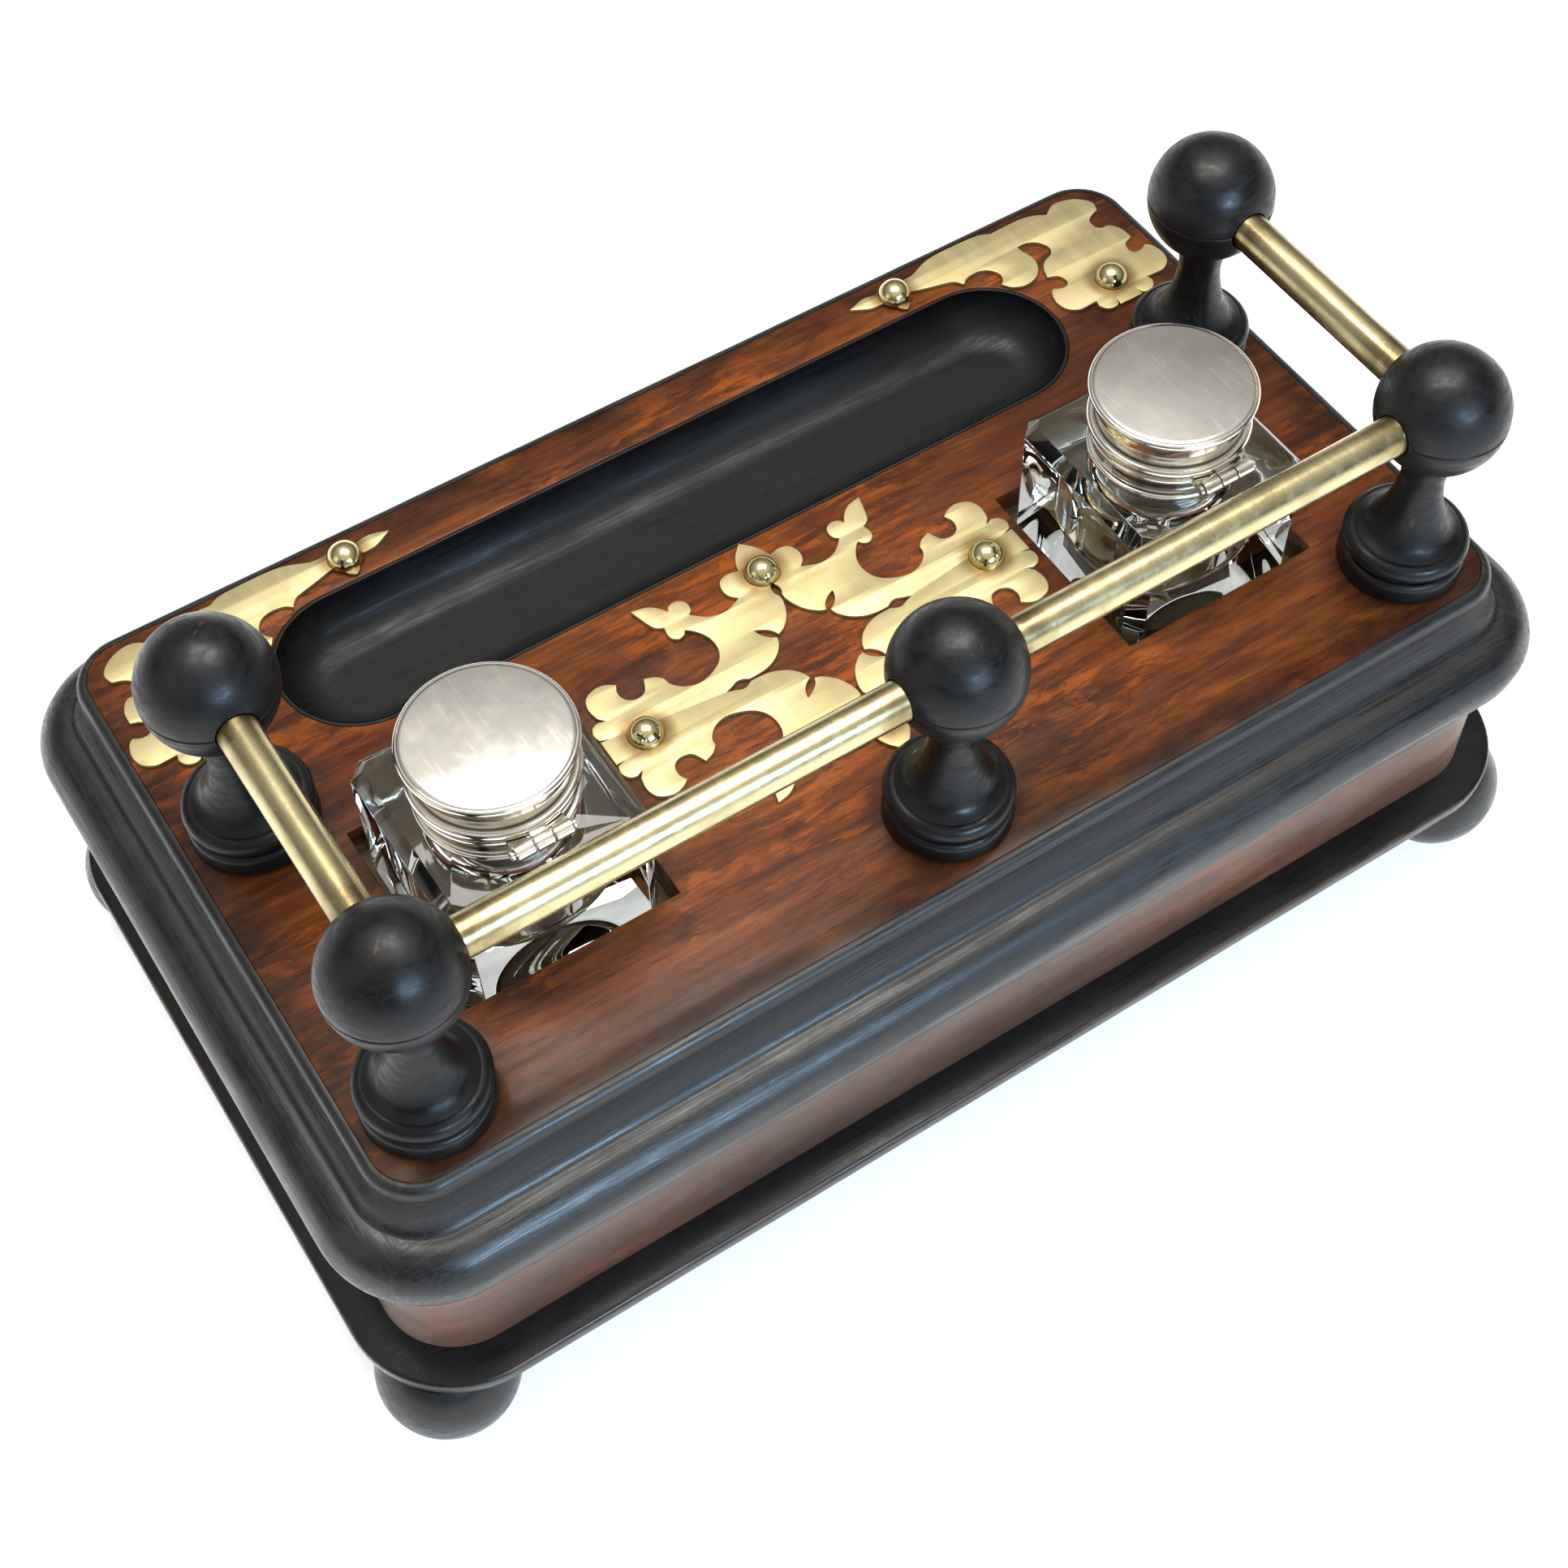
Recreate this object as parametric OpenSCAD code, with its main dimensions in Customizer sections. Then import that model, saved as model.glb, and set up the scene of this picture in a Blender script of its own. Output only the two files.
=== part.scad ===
// Gallery desk stand with a pen tray and two lidded ink bottles.
// X runs along the stand, the pen tray is on the -Y side and the railed back on the +Y side.
// The origin is on the floor under the middle of the stand. All sizes are in millimetres.

/* [Panel] */
// Length of the walnut panel, along X
panel_len = 274; // [262:1:340]
// Depth of the walnut panel, along Y
panel_dep = 151; // [146:1:190]
// Thickness of the walnut panel
panel_thk = 6; // [5:0.5:8]
// Plan radius of the panel's corners
corner_r = 10; // [6:0.5:14]

/* [Case] */
// Height of the walnut frieze
frieze_h = 33.2; // [28:0.2:60]
// How far the frieze stands out past the panel's edge
frieze_reach = 7.5; // [6:0.1:8]
// How far the case walls and the top moulding run in under the panel
wall_in = 4; // [3:0.5:5]
// Thickness of the base board
base_thk = 5.6; // [5:0.1:9]
// How far the base board stands out past the panel's edge
base_reach = 15.7; // [12:0.1:20]

/* [Top moulding] */
// How far the nose stands out past the panel's edge
nose_reach = 15.1; // [14:0.1:18]
// Radius of the nose
nose_r = 8.6; // [7:0.1:9.5]
// Drop from the panel's face to the middle of the nose
nose_drop = 21.2; // [20:0.1:26]
// Radius of the bead beside the panel
bead_r = 2.2; // [1.5:0.1:2.6]

/* [Ball feet] */
// Radius of a ball foot
foot_r = 15.8; // [13:0.1:18]
// Height of a ball foot between the floor and the base board
foot_h = 26.4; // [22:0.2:30]
// Radius of the flat that a foot stands on
foot_flat_r = 5; // [3:0.1:7]
// Distance of a foot's middle in from the base board's edges
foot_inset = 15.2; // [14:0.1:30]
// Radius of a foot's tenon
foot_tenon_r = 5; // [3:0.1:7]

/* [Gallery] */
// Distance between the middles of the left and right posts
post_span = 242.6; // [236:0.2:250]
// Place of the back posts along Y
back_post_y = 59.6; // [58:0.2:61]
// Place of the posts at the gallery's front ends along Y
end_post_y = -16.4; // [-20:0.2:10]
// Height of a ball's middle over the panel
ball_z = 47.4; // [42:0.2:60]
// Radius of a ball
ball_r = 14; // [11.5:0.1:15]
// Radius of a post's turned foot
post_foot_r = 13.8; // [11:0.1:14]
// Radius of a post's neck
post_neck_r = 4.9; // [4:0.1:7]
// Radius of a rail tube
rail_r = 4.3; // [3:0.1:5]
// Wall of a rail tube
rail_wall = 0.8; // [0.5:0.1:1.5]

/* [Pen tray] */
// Distance from the pen tray's ends to the panel's ends
tray_end = 34.5; // [31:0.5:62]
// Width of the pen tray
tray_w = 38.6; // [30:0.2:40]
// Depth of the pen tray's hollow
tray_deep = 11; // [7:0.5:16]
// Distance from the pen tray's front to the panel's front edge
tray_edge = 12.9; // [10.2:0.1:14.2]

/* [Ink bottles] */
// Distance of a bottle's middle from the middle of the panel, along X
bottle_x = 81.9; // [78:0.1:84]
// Place of the bottles' middles along Y
bottle_y = 21.7; // [20:0.1:23]
// Width of a square bottle
bottle_w = 45.6; // [38:0.1:46]
// Height of a bottle's shoulder over the panel
shoulder_z = 26.6; // [20:0.2:32]
// Depth of a well, from the panel's face to its floor
well_deep = 9; // [6:0.5:26]
// Gap between a bottle and its well on each side
well_gap = 2.2; // [1.5:0.1:3]
// Leg of the cut along a bottle's corners
corner_cut = 3.5; // [2:0.1:6]
// Bevel round a bottle's shoulder
shoulder_cut = 2.6; // [1.5:0.1:4]
// Thickness of the glass round a bottle's mouth
neck_wall = 4.5; // [3:0.1:6]
// Thickness of the glass beside a bottle's ink well
glass_wall = 7.3; // [5:0.1:9]

/* [Lids] */
// Radius of a lid's top
lid_r = 18; // [15:0.1:19]
// Height of a lid
lid_h = 11.8; // [9:0.1:14]
// Height of the silver collar under a lid
collar_h = 7; // [5:0.1:9]
// Wall of the collar at its waist
collar_wall = 2.1; // [1.5:0.1:3]
// How far the lid hinge's pin lies behind the lid's edge
hinge_out = 1.6; // [1.6:0.1:2.4]
// Length of a lid hinge
hinge_len = 12.4; // [10:0.1:16]

/* [Brass mounts] */
// Thickness of the brass mounts
mount_thk = 1; // [0.6:0.1:1.6]
// Place of the middle mount's centre along X
mount_x = -1.2; // [-3:0.1:3]
// Distance of the middle mount's centre behind the middle of the pen tray
mount_behind = 53.1; // [52.3:0.1:55.3]
// Radius of a domed stud
stud_r = 4.2; // [3:0.1:4.5]
// Height of a domed stud over its mount
stud_h = 3.6; // [2:0.1:4]

/* [Hidden] */

$fn = 72;
eps = 0.01;
part_gap = 0.3;            // air between pieces of different bodies
glue_gap = 0.05;           // fit of a tenon, a shank or a pin in its hole

walnut = "#8a4a24";
ebony = "#26272a";
brass = "#d8c48a";
silver = "#cfcabc";
glass = "#b9bdb4";

// Heights over the floor
base_z = foot_h;
frieze_z = base_z + base_thk;
nose_foot = nose_drop + nose_r;               // drop from the panel's face to the frieze's top
moulding_z = frieze_z + frieze_h;
top_z = moulding_z + nose_foot;               // the panel's upper face
rabbet_z = top_z - panel_thk;

half_len = panel_len / 2;
half_dep = panel_dep / 2;
side_run = half_len - corner_r;               // from the middle to a corner's centre, along X
end_run = half_dep - corner_r;                // the same, along Y
post_x = post_span / 2;
tray_len = panel_len - 2 * tray_end;
tray_y = tray_edge + tray_w / 2 - half_dep;
mount_y = tray_y + mount_behind;
foot_x = half_len + base_reach - foot_inset;
foot_y = half_dep + base_reach - foot_inset;

// Points of an arc in a plane, by centre, radius and end angles
function arc(c, r, a0, a1, n = 12) =
    [for (i = [0 : n]) let (a = a0 + (a1 - a0) * i / n) [c[0] + r * cos(a), c[1] + r * sin(a)]];

// Points of a quarter of an ellipse that starts upright and ends level
function cavetto(from, to, n = 10) =
    [for (i = [0 : n]) let (a = 90 * i / n) [to[0] + (from[0] - to[0]) * cos(a),
                                             from[1] + (to[1] - from[1]) * sin(a)]];

// One point of the smooth curve that runs through a, b, c and d, between b and c
function spline(a, b, c, d, t) =
    0.5 * (2 * b + (c - a) * t + (2 * a - 5 * b + 4 * c - d) * t * t
           + (3 * b - a - 3 * c + d) * t * t * t);

// A curve through points that hold [x, y] where it runs smoothly and [x, y, 1] at a sharp corner
function flat(p) = [p[0], p[1]];
function sharp(p) = len(p) == 3;
function smooth(path, n = 3) =
    [for (i = [0 : len(path) - 2])
        let (b = flat(path[i]), c = flat(path[i + 1]),
             a = sharp(path[i]) || i == 0 ? b : flat(path[i - 1]),
             d = sharp(path[i + 1]) || i == len(path) - 2 ? c : flat(path[i + 2]))
        for (k = [0 : n - 1]) spline(a, b, c, d, k / n),
     flat(path[len(path) - 1])];

function flip(path) = [for (i = [len(path) - 1 : -1 : 0]) path[i]];
function scaled(path, sx, sy) = [for (p = path) [sx * p[0], sy * p[1]]];

// A closed outline from one quarter, which runs from the X axis to the Y axis
function four_way(q) = concat(q, flip(scaled(q, -1, 1)), scaled(q, -1, -1), flip(scaled(q, 1, -1)));

module rounded(len_x, len_y, r, h) {
    linear_extrude(h) {
        square([len_x, len_y - 2 * r], center = true);
        square([len_x - 2 * r, len_y], center = true);
        for (sx = [-1, 1], sy = [-1, 1])
            translate([sx * (len_x / 2 - r), sy * (len_y / 2 - r)]) circle(r);
    }
}

// One side of a band round the stand, with half of each rounded corner.
// The profile's X counts outward from the panel's edge and its Y is the height.
module band_side(turn, run, out, profile) {
    rotate([0, 0, turn]) {
        translate([-run, out, 0]) rotate([90, 0, 90]) linear_extrude(2 * run)
            translate([corner_r, 0]) polygon(profile);
        for (side = [0, 1])
            mirror([side, 0, 0]) translate([-run, out, 0]) rotate([0, 0, 90]) rotate_extrude(angle = 45)
                translate([corner_r, 0]) polygon(profile);
    }
}

module long_side(turn, profile) {
    band_side(turn, side_run, end_run, profile);
}

module short_side(turn, profile) {
    band_side(turn, end_run, side_run, profile);
}

// Panel

module well_opening(side) {
    opening = bottle_w + 2 * well_gap;
    translate([side * bottle_x - opening / 2, bottle_y - opening / 2, rabbet_z - eps])
        cube([opening, opening, panel_thk + 2 * eps]);
}

module tray_plan(grow) {
    run = (tray_len - tray_w) / 2;
    translate([0, tray_y]) {
        square([2 * run, tray_w + 2 * grow], center = true);
        for (s = [-1, 1])
            translate([s * run, 0]) circle(tray_w / 2 + grow);
    }
}

post_places = [
    [-post_x, end_post_y], [post_x, end_post_y],
    [-post_x, back_post_y], [0, back_post_y], [post_x, back_post_y]
];
tenon_r = 3.5;

module top_panel() {
    color(walnut) difference() {
        translate([0, 0, rabbet_z]) rounded(panel_len, panel_dep, corner_r, panel_thk);
        for (side = [-1, 1])
            well_opening(side);
        translate([0, 0, rabbet_z - eps]) linear_extrude(panel_thk + 2 * eps) tray_plan(0);
        for (p = post_places)
            translate([p[0], p[1], rabbet_z - eps])
                cylinder(panel_thk + 2 * eps, tenon_r + glue_gap, tenon_r + glue_gap);
        for (p = all_studs)
            translate([p[0], p[1], top_z - shank_len])
                cylinder(shank_len + eps, shank_r + glue_gap, shank_r + glue_gap);
    }
}

// Pen tray: a block with a long hollow that has round ends and coved sides

tray_rim = 1;
tray_floor = 3;
flat_half = 4;                      // least half width of the hollow's flat floor
cove_r = min(tray_deep, tray_w / 2 - tray_rim - flat_half);

module tray_hollow() {
    run = (tray_len - tray_w) / 2;
    r = tray_w / 2 - tray_rim;
    half_section = concat([[0, eps], [0, -tray_deep]],
                          arc([r - cove_r, cove_r - tray_deep], cove_r, -90, 0), [[r, eps]]);
    translate([0, tray_y, top_z]) {
        for (s = [-1, 1])
            translate([s * run, 0, 0]) rotate_extrude() polygon(half_section);
        for (turn = [0, 180])
            rotate([0, 0, turn]) translate([-run, 0, 0]) rotate([90, 0, 90])
                linear_extrude(2 * run) polygon(half_section);
    }
}

module pen_tray() {
    color(ebony) difference() {
        translate([0, 0, top_z - tray_deep - tray_floor])
            linear_extrude(tray_deep + tray_floor) tray_plan(-glue_gap);
        tray_hollow();
    }
}

// Wells under the panel that the bottles stand in

well_wall = 3;

module bottle_well(side) {
    inside = bottle_w + 2 * well_gap;
    outside = inside + 2 * well_wall;
    floor_z = top_z - well_deep;
    color(ebony) translate([side * bottle_x, bottle_y, 0]) difference() {
        translate([-outside / 2, -outside / 2, floor_z - well_wall])
            cube([outside, outside, rabbet_z - floor_z + well_wall]);
        translate([-inside / 2, -inside / 2, floor_z]) cube([inside, inside, well_deep]);
    }
}

// Top moulding: a bead beside the panel, a hollow and a round nose, with a rabbet for the panel

nose = [nose_reach - nose_r, top_z - nose_drop];
bead_in = 0.2;
quirk = 0.4;                                  // the narrow step under the bead
moulding_profile = concat(
    [[0, top_z]],
    arc([bead_in, top_z - bead_r], bead_r, 90, 0, 6),
    cavetto([bead_in + bead_r + quirk / 4, top_z - bead_r - quirk], [nose[0], nose[1] + nose_r]),
    arc(nose, nose_r, 80, -90, 20),
    [[-wall_in, moulding_z], [-wall_in, rabbet_z], [0, rabbet_z]]
);

module moulding_long(turn) {
    color(ebony) long_side(turn, moulding_profile);
}

module moulding_short(turn) {
    color(ebony) short_side(turn, moulding_profile);
}

// Frieze walls and base board

frieze_profile = [
    [frieze_reach, frieze_z], [frieze_reach, moulding_z], [-wall_in, moulding_z], [-wall_in, frieze_z]
];

module frieze_long(turn) {
    color(walnut) long_side(turn, frieze_profile);
}

module frieze_short(turn) {
    color(walnut) short_side(turn, frieze_profile);
}

edge_round = 1.2;
ledge_drop = 1.4;                   // fall of the ledge from the frieze to the board's edge
lip_in = 1;                         // how far the lip runs into the board
lip_lap = 0.5;
board_reach = base_reach - edge_round;
board_h = base_thk - ledge_drop - edge_round;
lip_profile = concat(
    [[frieze_reach - 2 * lip_lap, frieze_z], [frieze_reach, frieze_z]],
    arc([board_reach, frieze_z - ledge_drop - edge_round], edge_round, 80, 0, 5),
    arc([board_reach, base_z + edge_round], edge_round, 0, -90, 5),
    [[board_reach - 2 * lip_lap, base_z], [frieze_reach - lip_in, base_z + lip_in],
     [frieze_reach - lip_in, frieze_z - lip_in]]
);

module grown_plate(reach, z, h) {
    translate([0, 0, z]) rounded(panel_len + 2 * reach, panel_dep + 2 * reach, corner_r + reach, h);
}

module base_board() {
    color(ebony) difference() {
        union() {
            grown_plate(board_reach - lip_lap, base_z, board_h);
            grown_plate(frieze_reach - lip_lap, base_z + lip_in, base_thk - lip_in);
            for (turn = [0, 180]) {
                long_side(turn, lip_profile);
                short_side(turn + 90, lip_profile);
            }
        }
        for (sx = [-1, 1], sy = [-1, 1])
            translate([sx * foot_x, sy * foot_y, base_z - eps])
                cylinder(foot_tenon_h + 2 * glue_gap, foot_tenon_r + glue_gap, foot_tenon_r + glue_gap);
    }
}

// Ball feet, flat where they stand and where they meet the base board, with a tenon on top

foot_tenon_h = 4.5;

module foot(sx, sy) {
    centre_z = sqrt(foot_r * foot_r - foot_flat_r * foot_flat_r);
    color(ebony) translate([sx * foot_x, sy * foot_y, 0]) {
        intersection() {
            translate([0, 0, centre_z]) sphere(foot_r);
            cylinder(foot_h, 2 * foot_r, 2 * foot_r);
        }
        translate([0, 0, foot_h - 1]) cylinder(foot_tenon_h + 1, foot_tenon_r, foot_tenon_r);
    }
}

// Gallery posts: a turned foot, a trumpet, and the lower half of the ball with a tenon below.
// Each cap is the upper half of the ball, with a spigot, and the two halves hold the rails.

rail_hole_r = rail_r + 0.3;
rail_end = 6;                       // from a ball's middle to a rail's end
rail_hole_end = rail_end - 0.3;
spigot_r = 2.2;
spigot_h = 4;
foot_disc_h = 5.4;
foot_ring_h = 10.6;
shoulder_r = post_foot_r - 2.4;     // where the trumpet starts on the ring
neck_share = 0.53;                  // where the neck is thinnest, as a share of the ball's height
neck_z = ball_z * neck_share;
cup_r = 6;                          // radius at which the trumpet meets the ball
cup_step = 0.5;
cup_z = ball_z - sqrt(ball_r * ball_r - cup_r * cup_r);
trumpet = smooth([
    [shoulder_r, foot_ring_h + 0.2, 1], [shoulder_r - 2.6, foot_ring_h + 2.2],
    [post_neck_r + 1.5, (foot_ring_h + neck_z) / 2], [post_neck_r, neck_z],
    [post_neck_r + 0.1, (neck_z + cup_z) / 2], [cup_r - cup_step, cup_z, 1]
], 5);
disc_low_r = 1.2;                   // roundings under and over the disc
disc_top_r = 1.6;
disc_in = 0.2;
groove_in = 2.2;                    // the groove between the disc and the ring
groove_h = 0.6;
ring_half = (foot_ring_h - foot_disc_h - groove_h) / 2;
post_profile = concat(
    [[0, 0], [post_foot_r - disc_low_r, 0]],
    arc([post_foot_r - disc_low_r, disc_low_r], disc_low_r, -60, 0, 4),
    arc([post_foot_r - disc_in - disc_top_r, foot_disc_h - disc_top_r], disc_top_r, 0, 90, 6),
    [[post_foot_r - groove_in, foot_disc_h], [post_foot_r - groove_in, foot_disc_h + groove_h]],
    arc([shoulder_r, foot_ring_h - ring_half], ring_half, -60, 90, 10),
    trumpet,
    arc([0, ball_z], ball_r, -acos(cup_r / ball_r), 0, 14),
    [[0, ball_z]]
);

// Directions of the rails that enter each ball, as turns about Z
function rail_turns(i) =
    i < 2 ? [90] : i == 2 ? [0, -90] : i == 3 ? [0, 180] : [180, -90];

module rail_holes(i) {
    for (turn = rail_turns(i))
        rotate([0, 0, turn]) translate([rail_hole_end, 0, ball_z]) rotate([0, 90, 0])
            cylinder(ball_r, rail_hole_r, rail_hole_r);
}

module post(i) {
    p = post_places[i];
    color(ebony) translate([p[0], p[1], top_z]) {
        difference() {
            rotate_extrude() polygon(post_profile);
            rail_holes(i);
            translate([0, 0, ball_z - spigot_h])
                cylinder(spigot_h + eps, spigot_r + glue_gap, spigot_r + glue_gap);
        }
        translate([0, 0, -panel_thk]) cylinder(panel_thk + 1, tenon_r, tenon_r);
    }
}

module cap(i) {
    p = post_places[i];
    color(ebony) translate([p[0], p[1], top_z]) {
        difference() {
            intersection() {
                translate([0, 0, ball_z]) sphere(ball_r);
                translate([0, 0, ball_z]) cylinder(ball_r, ball_r + 1, ball_r + 1);
            }
            rail_holes(i);
        }
        translate([0, 0, ball_z - spigot_h + glue_gap]) cylinder(spigot_h + 1, spigot_r, spigot_r);
    }
}

module rail(from, to) {
    along = to - from;
    span = norm(along);
    turn = atan2(along[1], along[0]);
    color(brass) translate([from[0], from[1], top_z + ball_z]) rotate([0, 0, turn]) rotate([0, 90, 0])
        difference() {
            translate([0, 0, rail_end]) cylinder(span - 2 * rail_end, rail_r, rail_r);
            translate([0, 0, rail_end - eps])
                cylinder(span - 2 * rail_end + 2 * eps, rail_r - rail_wall, rail_r - rail_wall);
        }
}

// Brass mounts. Each outline is a quarter or a half, with its points set by hand along the strap's edge.

shank_r = 1;
shank_len = 4;
centre_stud_x = 43.9;
centre_stud_y = 23.5;
corner_stud_a = [-16.6, 31.2];      // the stud inside the crown, from the panel's corner
corner_stud_b = [-63.1, 6.9];       // the stud beside the tray's corner

// From the right end of the X axis to the lower end of the Y axis
mount_outer = smooth([
    [53.2, 0], [53.2, 3.4, 1], [51.2, 3.2, 1], [53.1, 3.9, 1], [53.5, 5.8], [52.6, 7.6], [50.9, 8.2, 1],
    [49.4, 7.6, 1], [50.6, 9, 1], [51.1, 12], [50, 15], [46.9, 16.3], [44.4, 15.8], [42.6, 14.6, 1],
    [43.5, 12.6], [43, 10.3], [41.2, 9.1], [39.2, 9.3], [38.1, 10.3], [37, 12.8, 1], [34.6, 11.9],
    [33.1, 10.4, 1], [32.8, 8.6], [30.8, 6.4], [27.6, 5.3], [24.2, 6], [21, 7.9], [19.3, 11], [19.4, 14.6],
    [21, 17.6], [22.6, 19.2, 1], [23.3, 18.2], [24.8, 17.8], [26.2, 18.7], [26.5, 20.4], [26.1, 22.2, 1],
    [27.8, 23.2], [28.8, 25.6], [30, 30, 1], [26.6, 29.3], [24.4, 27.6], [23, 25.6, 1], [22.4, 26.7],
    [20.6, 27.2], [18.9, 26.4], [18.3, 24.8], [18.6, 23.2], [19.6, 22.3, 1], [17, 19.9], [14.4, 18.9],
    [11.6, 18.9], [8.2, 20.3, 1], [9.7, 21.9], [10.1, 24.2], [9.1, 26.6], [6.7, 27.4], [4.2, 26.8, 1],
    [3.7, 28.6], [2.4, 30.9], [0, 33.4]
]);

// From the right end of the opening's X axis to the lower end of its Y axis
mount_inner = smooth([
    [23.8, 0, 1], [22, 0.6], [20.5, 1.2], [19.2, 1], [18, 0.3, 1], [16, 0.3], [13.4, 0.6], [11, 1.5],
    [8.9, 3], [7.4, 5], [6.9, 6.6, 1], [8.4, 7.5], [9.6, 9], [10.2, 10.8, 1], [8.5, 9.9], [7, 8.6],
    [6.2, 7, 1], [4.4, 7.8], [2.2, 10], [0.8, 12.8], [0.3, 14.8, 1], [0.3, 16, 1], [0.9, 17.2],
    [0.7, 18.6], [0, 20.2]
]);

// Half of the crown round a corner stud: X outward from its middle line, Y toward the stand's back
crown_half = [
    [0, 8.3], [3.3, 8.2, 1], [3.1, 6.6, 1], [3.8, 8], [5.6, 8.3], [7.2, 7.4], [8, 5.8, 1],
    [7.6, 4.3, 1], [9.8, 4.4], [12.6, 4.3], [15, 2.5], [15.8, -0.6], [15, -3.6], [13.8, -4.8, 1],
    [12, -3.9], [10.2, -4], [9.4, -5.4], [10.2, -7.6]
];
function placed(path, c, s) =
    [for (p = path) len(p) == 3 ? [c[0] + s * p[0], c[1] + p[1], 1] : [c[0] + s * p[0], c[1] + p[1]]];

// The right-hand corner mount, from the outer neck round its corner to the tray and back, with the
// panel's front right corner as its origin
corner_rest = [
    [-4, 22.5, 1], [-4.2, 19.1], [-6, 16.3], [-8, 16.1], [-9.2, 14.9, 1], [-9.2, 12.7], [-7.6, 11.2],
    [-5.2, 10.3, 1], [-4.6, 7.5], [-6.8, 4.7], [-10, 3.1], [-13.4, 2.9], [-16.7, 4.9, 1], [-19, 3.5],
    [-22.4, 2.6], [-27, 2.5], [-32, 2.7, 1], [-34.6, 1.5], [-39, 1.1], [-47, 1.1], [-51.4, 1.9],
    [-56, 3.8], [-59.4, 3.9, 1], [-61.2, 3.1], [-63.2, 2.8], [-65.4, 3.3], [-67, 4.5, 1], [-70.4, 3.9],
    [-75, 5.3, 1], [-70.6, 7.6], [-67, 7.9, 1], [-65, 9.9, 1], [-64.6, 11.5], [-63.2, 12.7, 1],
    [-61.6, 11.5], [-61.2, 9.9, 1], [-59, 8.3, 1], [-55.6, 9.3], [-51, 10.5], [-48.8, 11.3],
    [-47.2, 13.3, 1], [-45.4, 12], [-42.2, 11.6], [-39.6, 12.7], [-38.1, 15.1], [-38.6, 17.1],
    [-39.8, 18.3, 1], [-38, 20.7], [-34.4, 21.8], [-31, 20.7], [-28.8, 18.1], [-28.2, 14.9], [-29, 12.1],
    [-29.2, 10.1, 1], [-26.4, 10.1], [-24, 11.7], [-22.8, 14.3], [-23.8, 16.5], [-26.4, 17.6],
    [-28.2, 19.5], [-29.2, 22.5, 1]
];
corner_outline = smooth(concat(
    placed(crown_half, corner_stud_a, 1),
    corner_rest,
    placed(flip(crown_half), corner_stud_a, -1)
));

centre_studs_at = [
    for (s = [-1, 1]) [mount_x + s * centre_stud_x, mount_y],
    for (s = [-1, 1]) [mount_x, mount_y + s * centre_stud_y]
];
function corner_studs_at(side) =
    [for (p = [corner_stud_a, corner_stud_b]) [side * (half_len + p[0]), p[1] - half_dep]];
all_studs = concat(centre_studs_at, corner_studs_at(-1), corner_studs_at(1));

module stud_holes(places) {
    for (p = places)
        translate([p[0], p[1], top_z - eps])
            cylinder(mount_thk + 2 * eps, shank_r + glue_gap, shank_r + glue_gap);
}

module centre_mount() {
    color(brass) difference() {
        translate([mount_x, mount_y, top_z]) linear_extrude(mount_thk) difference() {
            polygon(four_way(mount_outer));
            polygon(four_way(mount_inner));
        }
        stud_holes(centre_studs_at);
    }
}

module corner_mount(side) {
    color(brass) difference() {
        translate([side * half_len, -half_dep, top_z])
            linear_extrude(mount_thk) polygon(scaled(corner_outline, side, 1));
        stud_holes(corner_studs_at(side));
    }
}

// Domed studs with a plain shank
module studs(places) {
    dome_r = (stud_r * stud_r + stud_h * stud_h) / (2 * stud_h);
    color(brass) for (p = places)
        translate([p[0], p[1], top_z + mount_thk]) {
            intersection() {
                translate([0, 0, stud_h - dome_r]) sphere(dome_r);
                cylinder(stud_h + 1, 2 * stud_r, 2 * stud_r);
            }
            translate([0, 0, -mount_thk - shank_len + glue_gap])
                cylinder(mount_thk + shank_len, shank_r, shank_r);
        }
}

// Ink bottles: a square block of glass with cut corners, a round well inside and a short neck

bottle_z = top_z - well_deep + part_gap;
bottle_h = well_deep - part_gap + shoulder_z;
collar_r = lid_r - 1;
collar_waist = collar_r - 1.4;
neck_r = collar_waist - collar_wall;
mouth_r = neck_r - neck_wall;
ink_r = bottle_w / 2 - glass_wall;
hinge_reach = lid_r + hinge_out;
foot_cut = 1.2;
bottle_floor = 8;
bottle_shoulder = 7;
collar_cap = 1;                     // thickness of the collar over the neck's rim
neck_h = collar_h - collar_cap - part_gap;
round_in = 5;                       // rounding at the ink well's floor and shoulder

module bevelled_prism(half) {
    rotate([90, 0, 0]) linear_extrude(4 * bottle_w, center = true) polygon([
        [foot_cut - half, 0], [half - foot_cut, 0], [half, foot_cut], [half, bottle_h - shoulder_cut],
        [half - shoulder_cut, bottle_h], [shoulder_cut - half, bottle_h],
        [-half, bottle_h - shoulder_cut], [-half, foot_cut]
    ]);
}

module bottle(side) {
    across = bottle_w / sqrt(2) - corner_cut / sqrt(2);
    color(glass, 0.5) translate([side * bottle_x, bottle_y, bottle_z]) difference() {
        union() {
            intersection() {
                bevelled_prism(bottle_w / 2);
                rotate([0, 0, 90]) bevelled_prism(bottle_w / 2);
                rotate([0, 0, 45]) bevelled_prism(across);
                rotate([0, 0, -45]) bevelled_prism(across);
            }
            translate([0, 0, bottle_h - 1]) cylinder(neck_h + 1, neck_r, neck_r);
        }
        rotate_extrude() polygon(concat(
            [[0, bottle_floor]],
            arc([ink_r - round_in, bottle_floor + round_in], round_in, -90, 0, 8),
            arc([ink_r - round_in, bottle_h - bottle_shoulder - round_in], round_in, 0, 70, 7),
            [[mouth_r, bottle_h - bottle_shoulder + 1], [mouth_r, bottle_h + neck_h + 1],
             [0, bottle_h + neck_h + 1]]
        ));
    }
}

// Silver collar round the neck, with the two outer knuckles of the hinge

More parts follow.
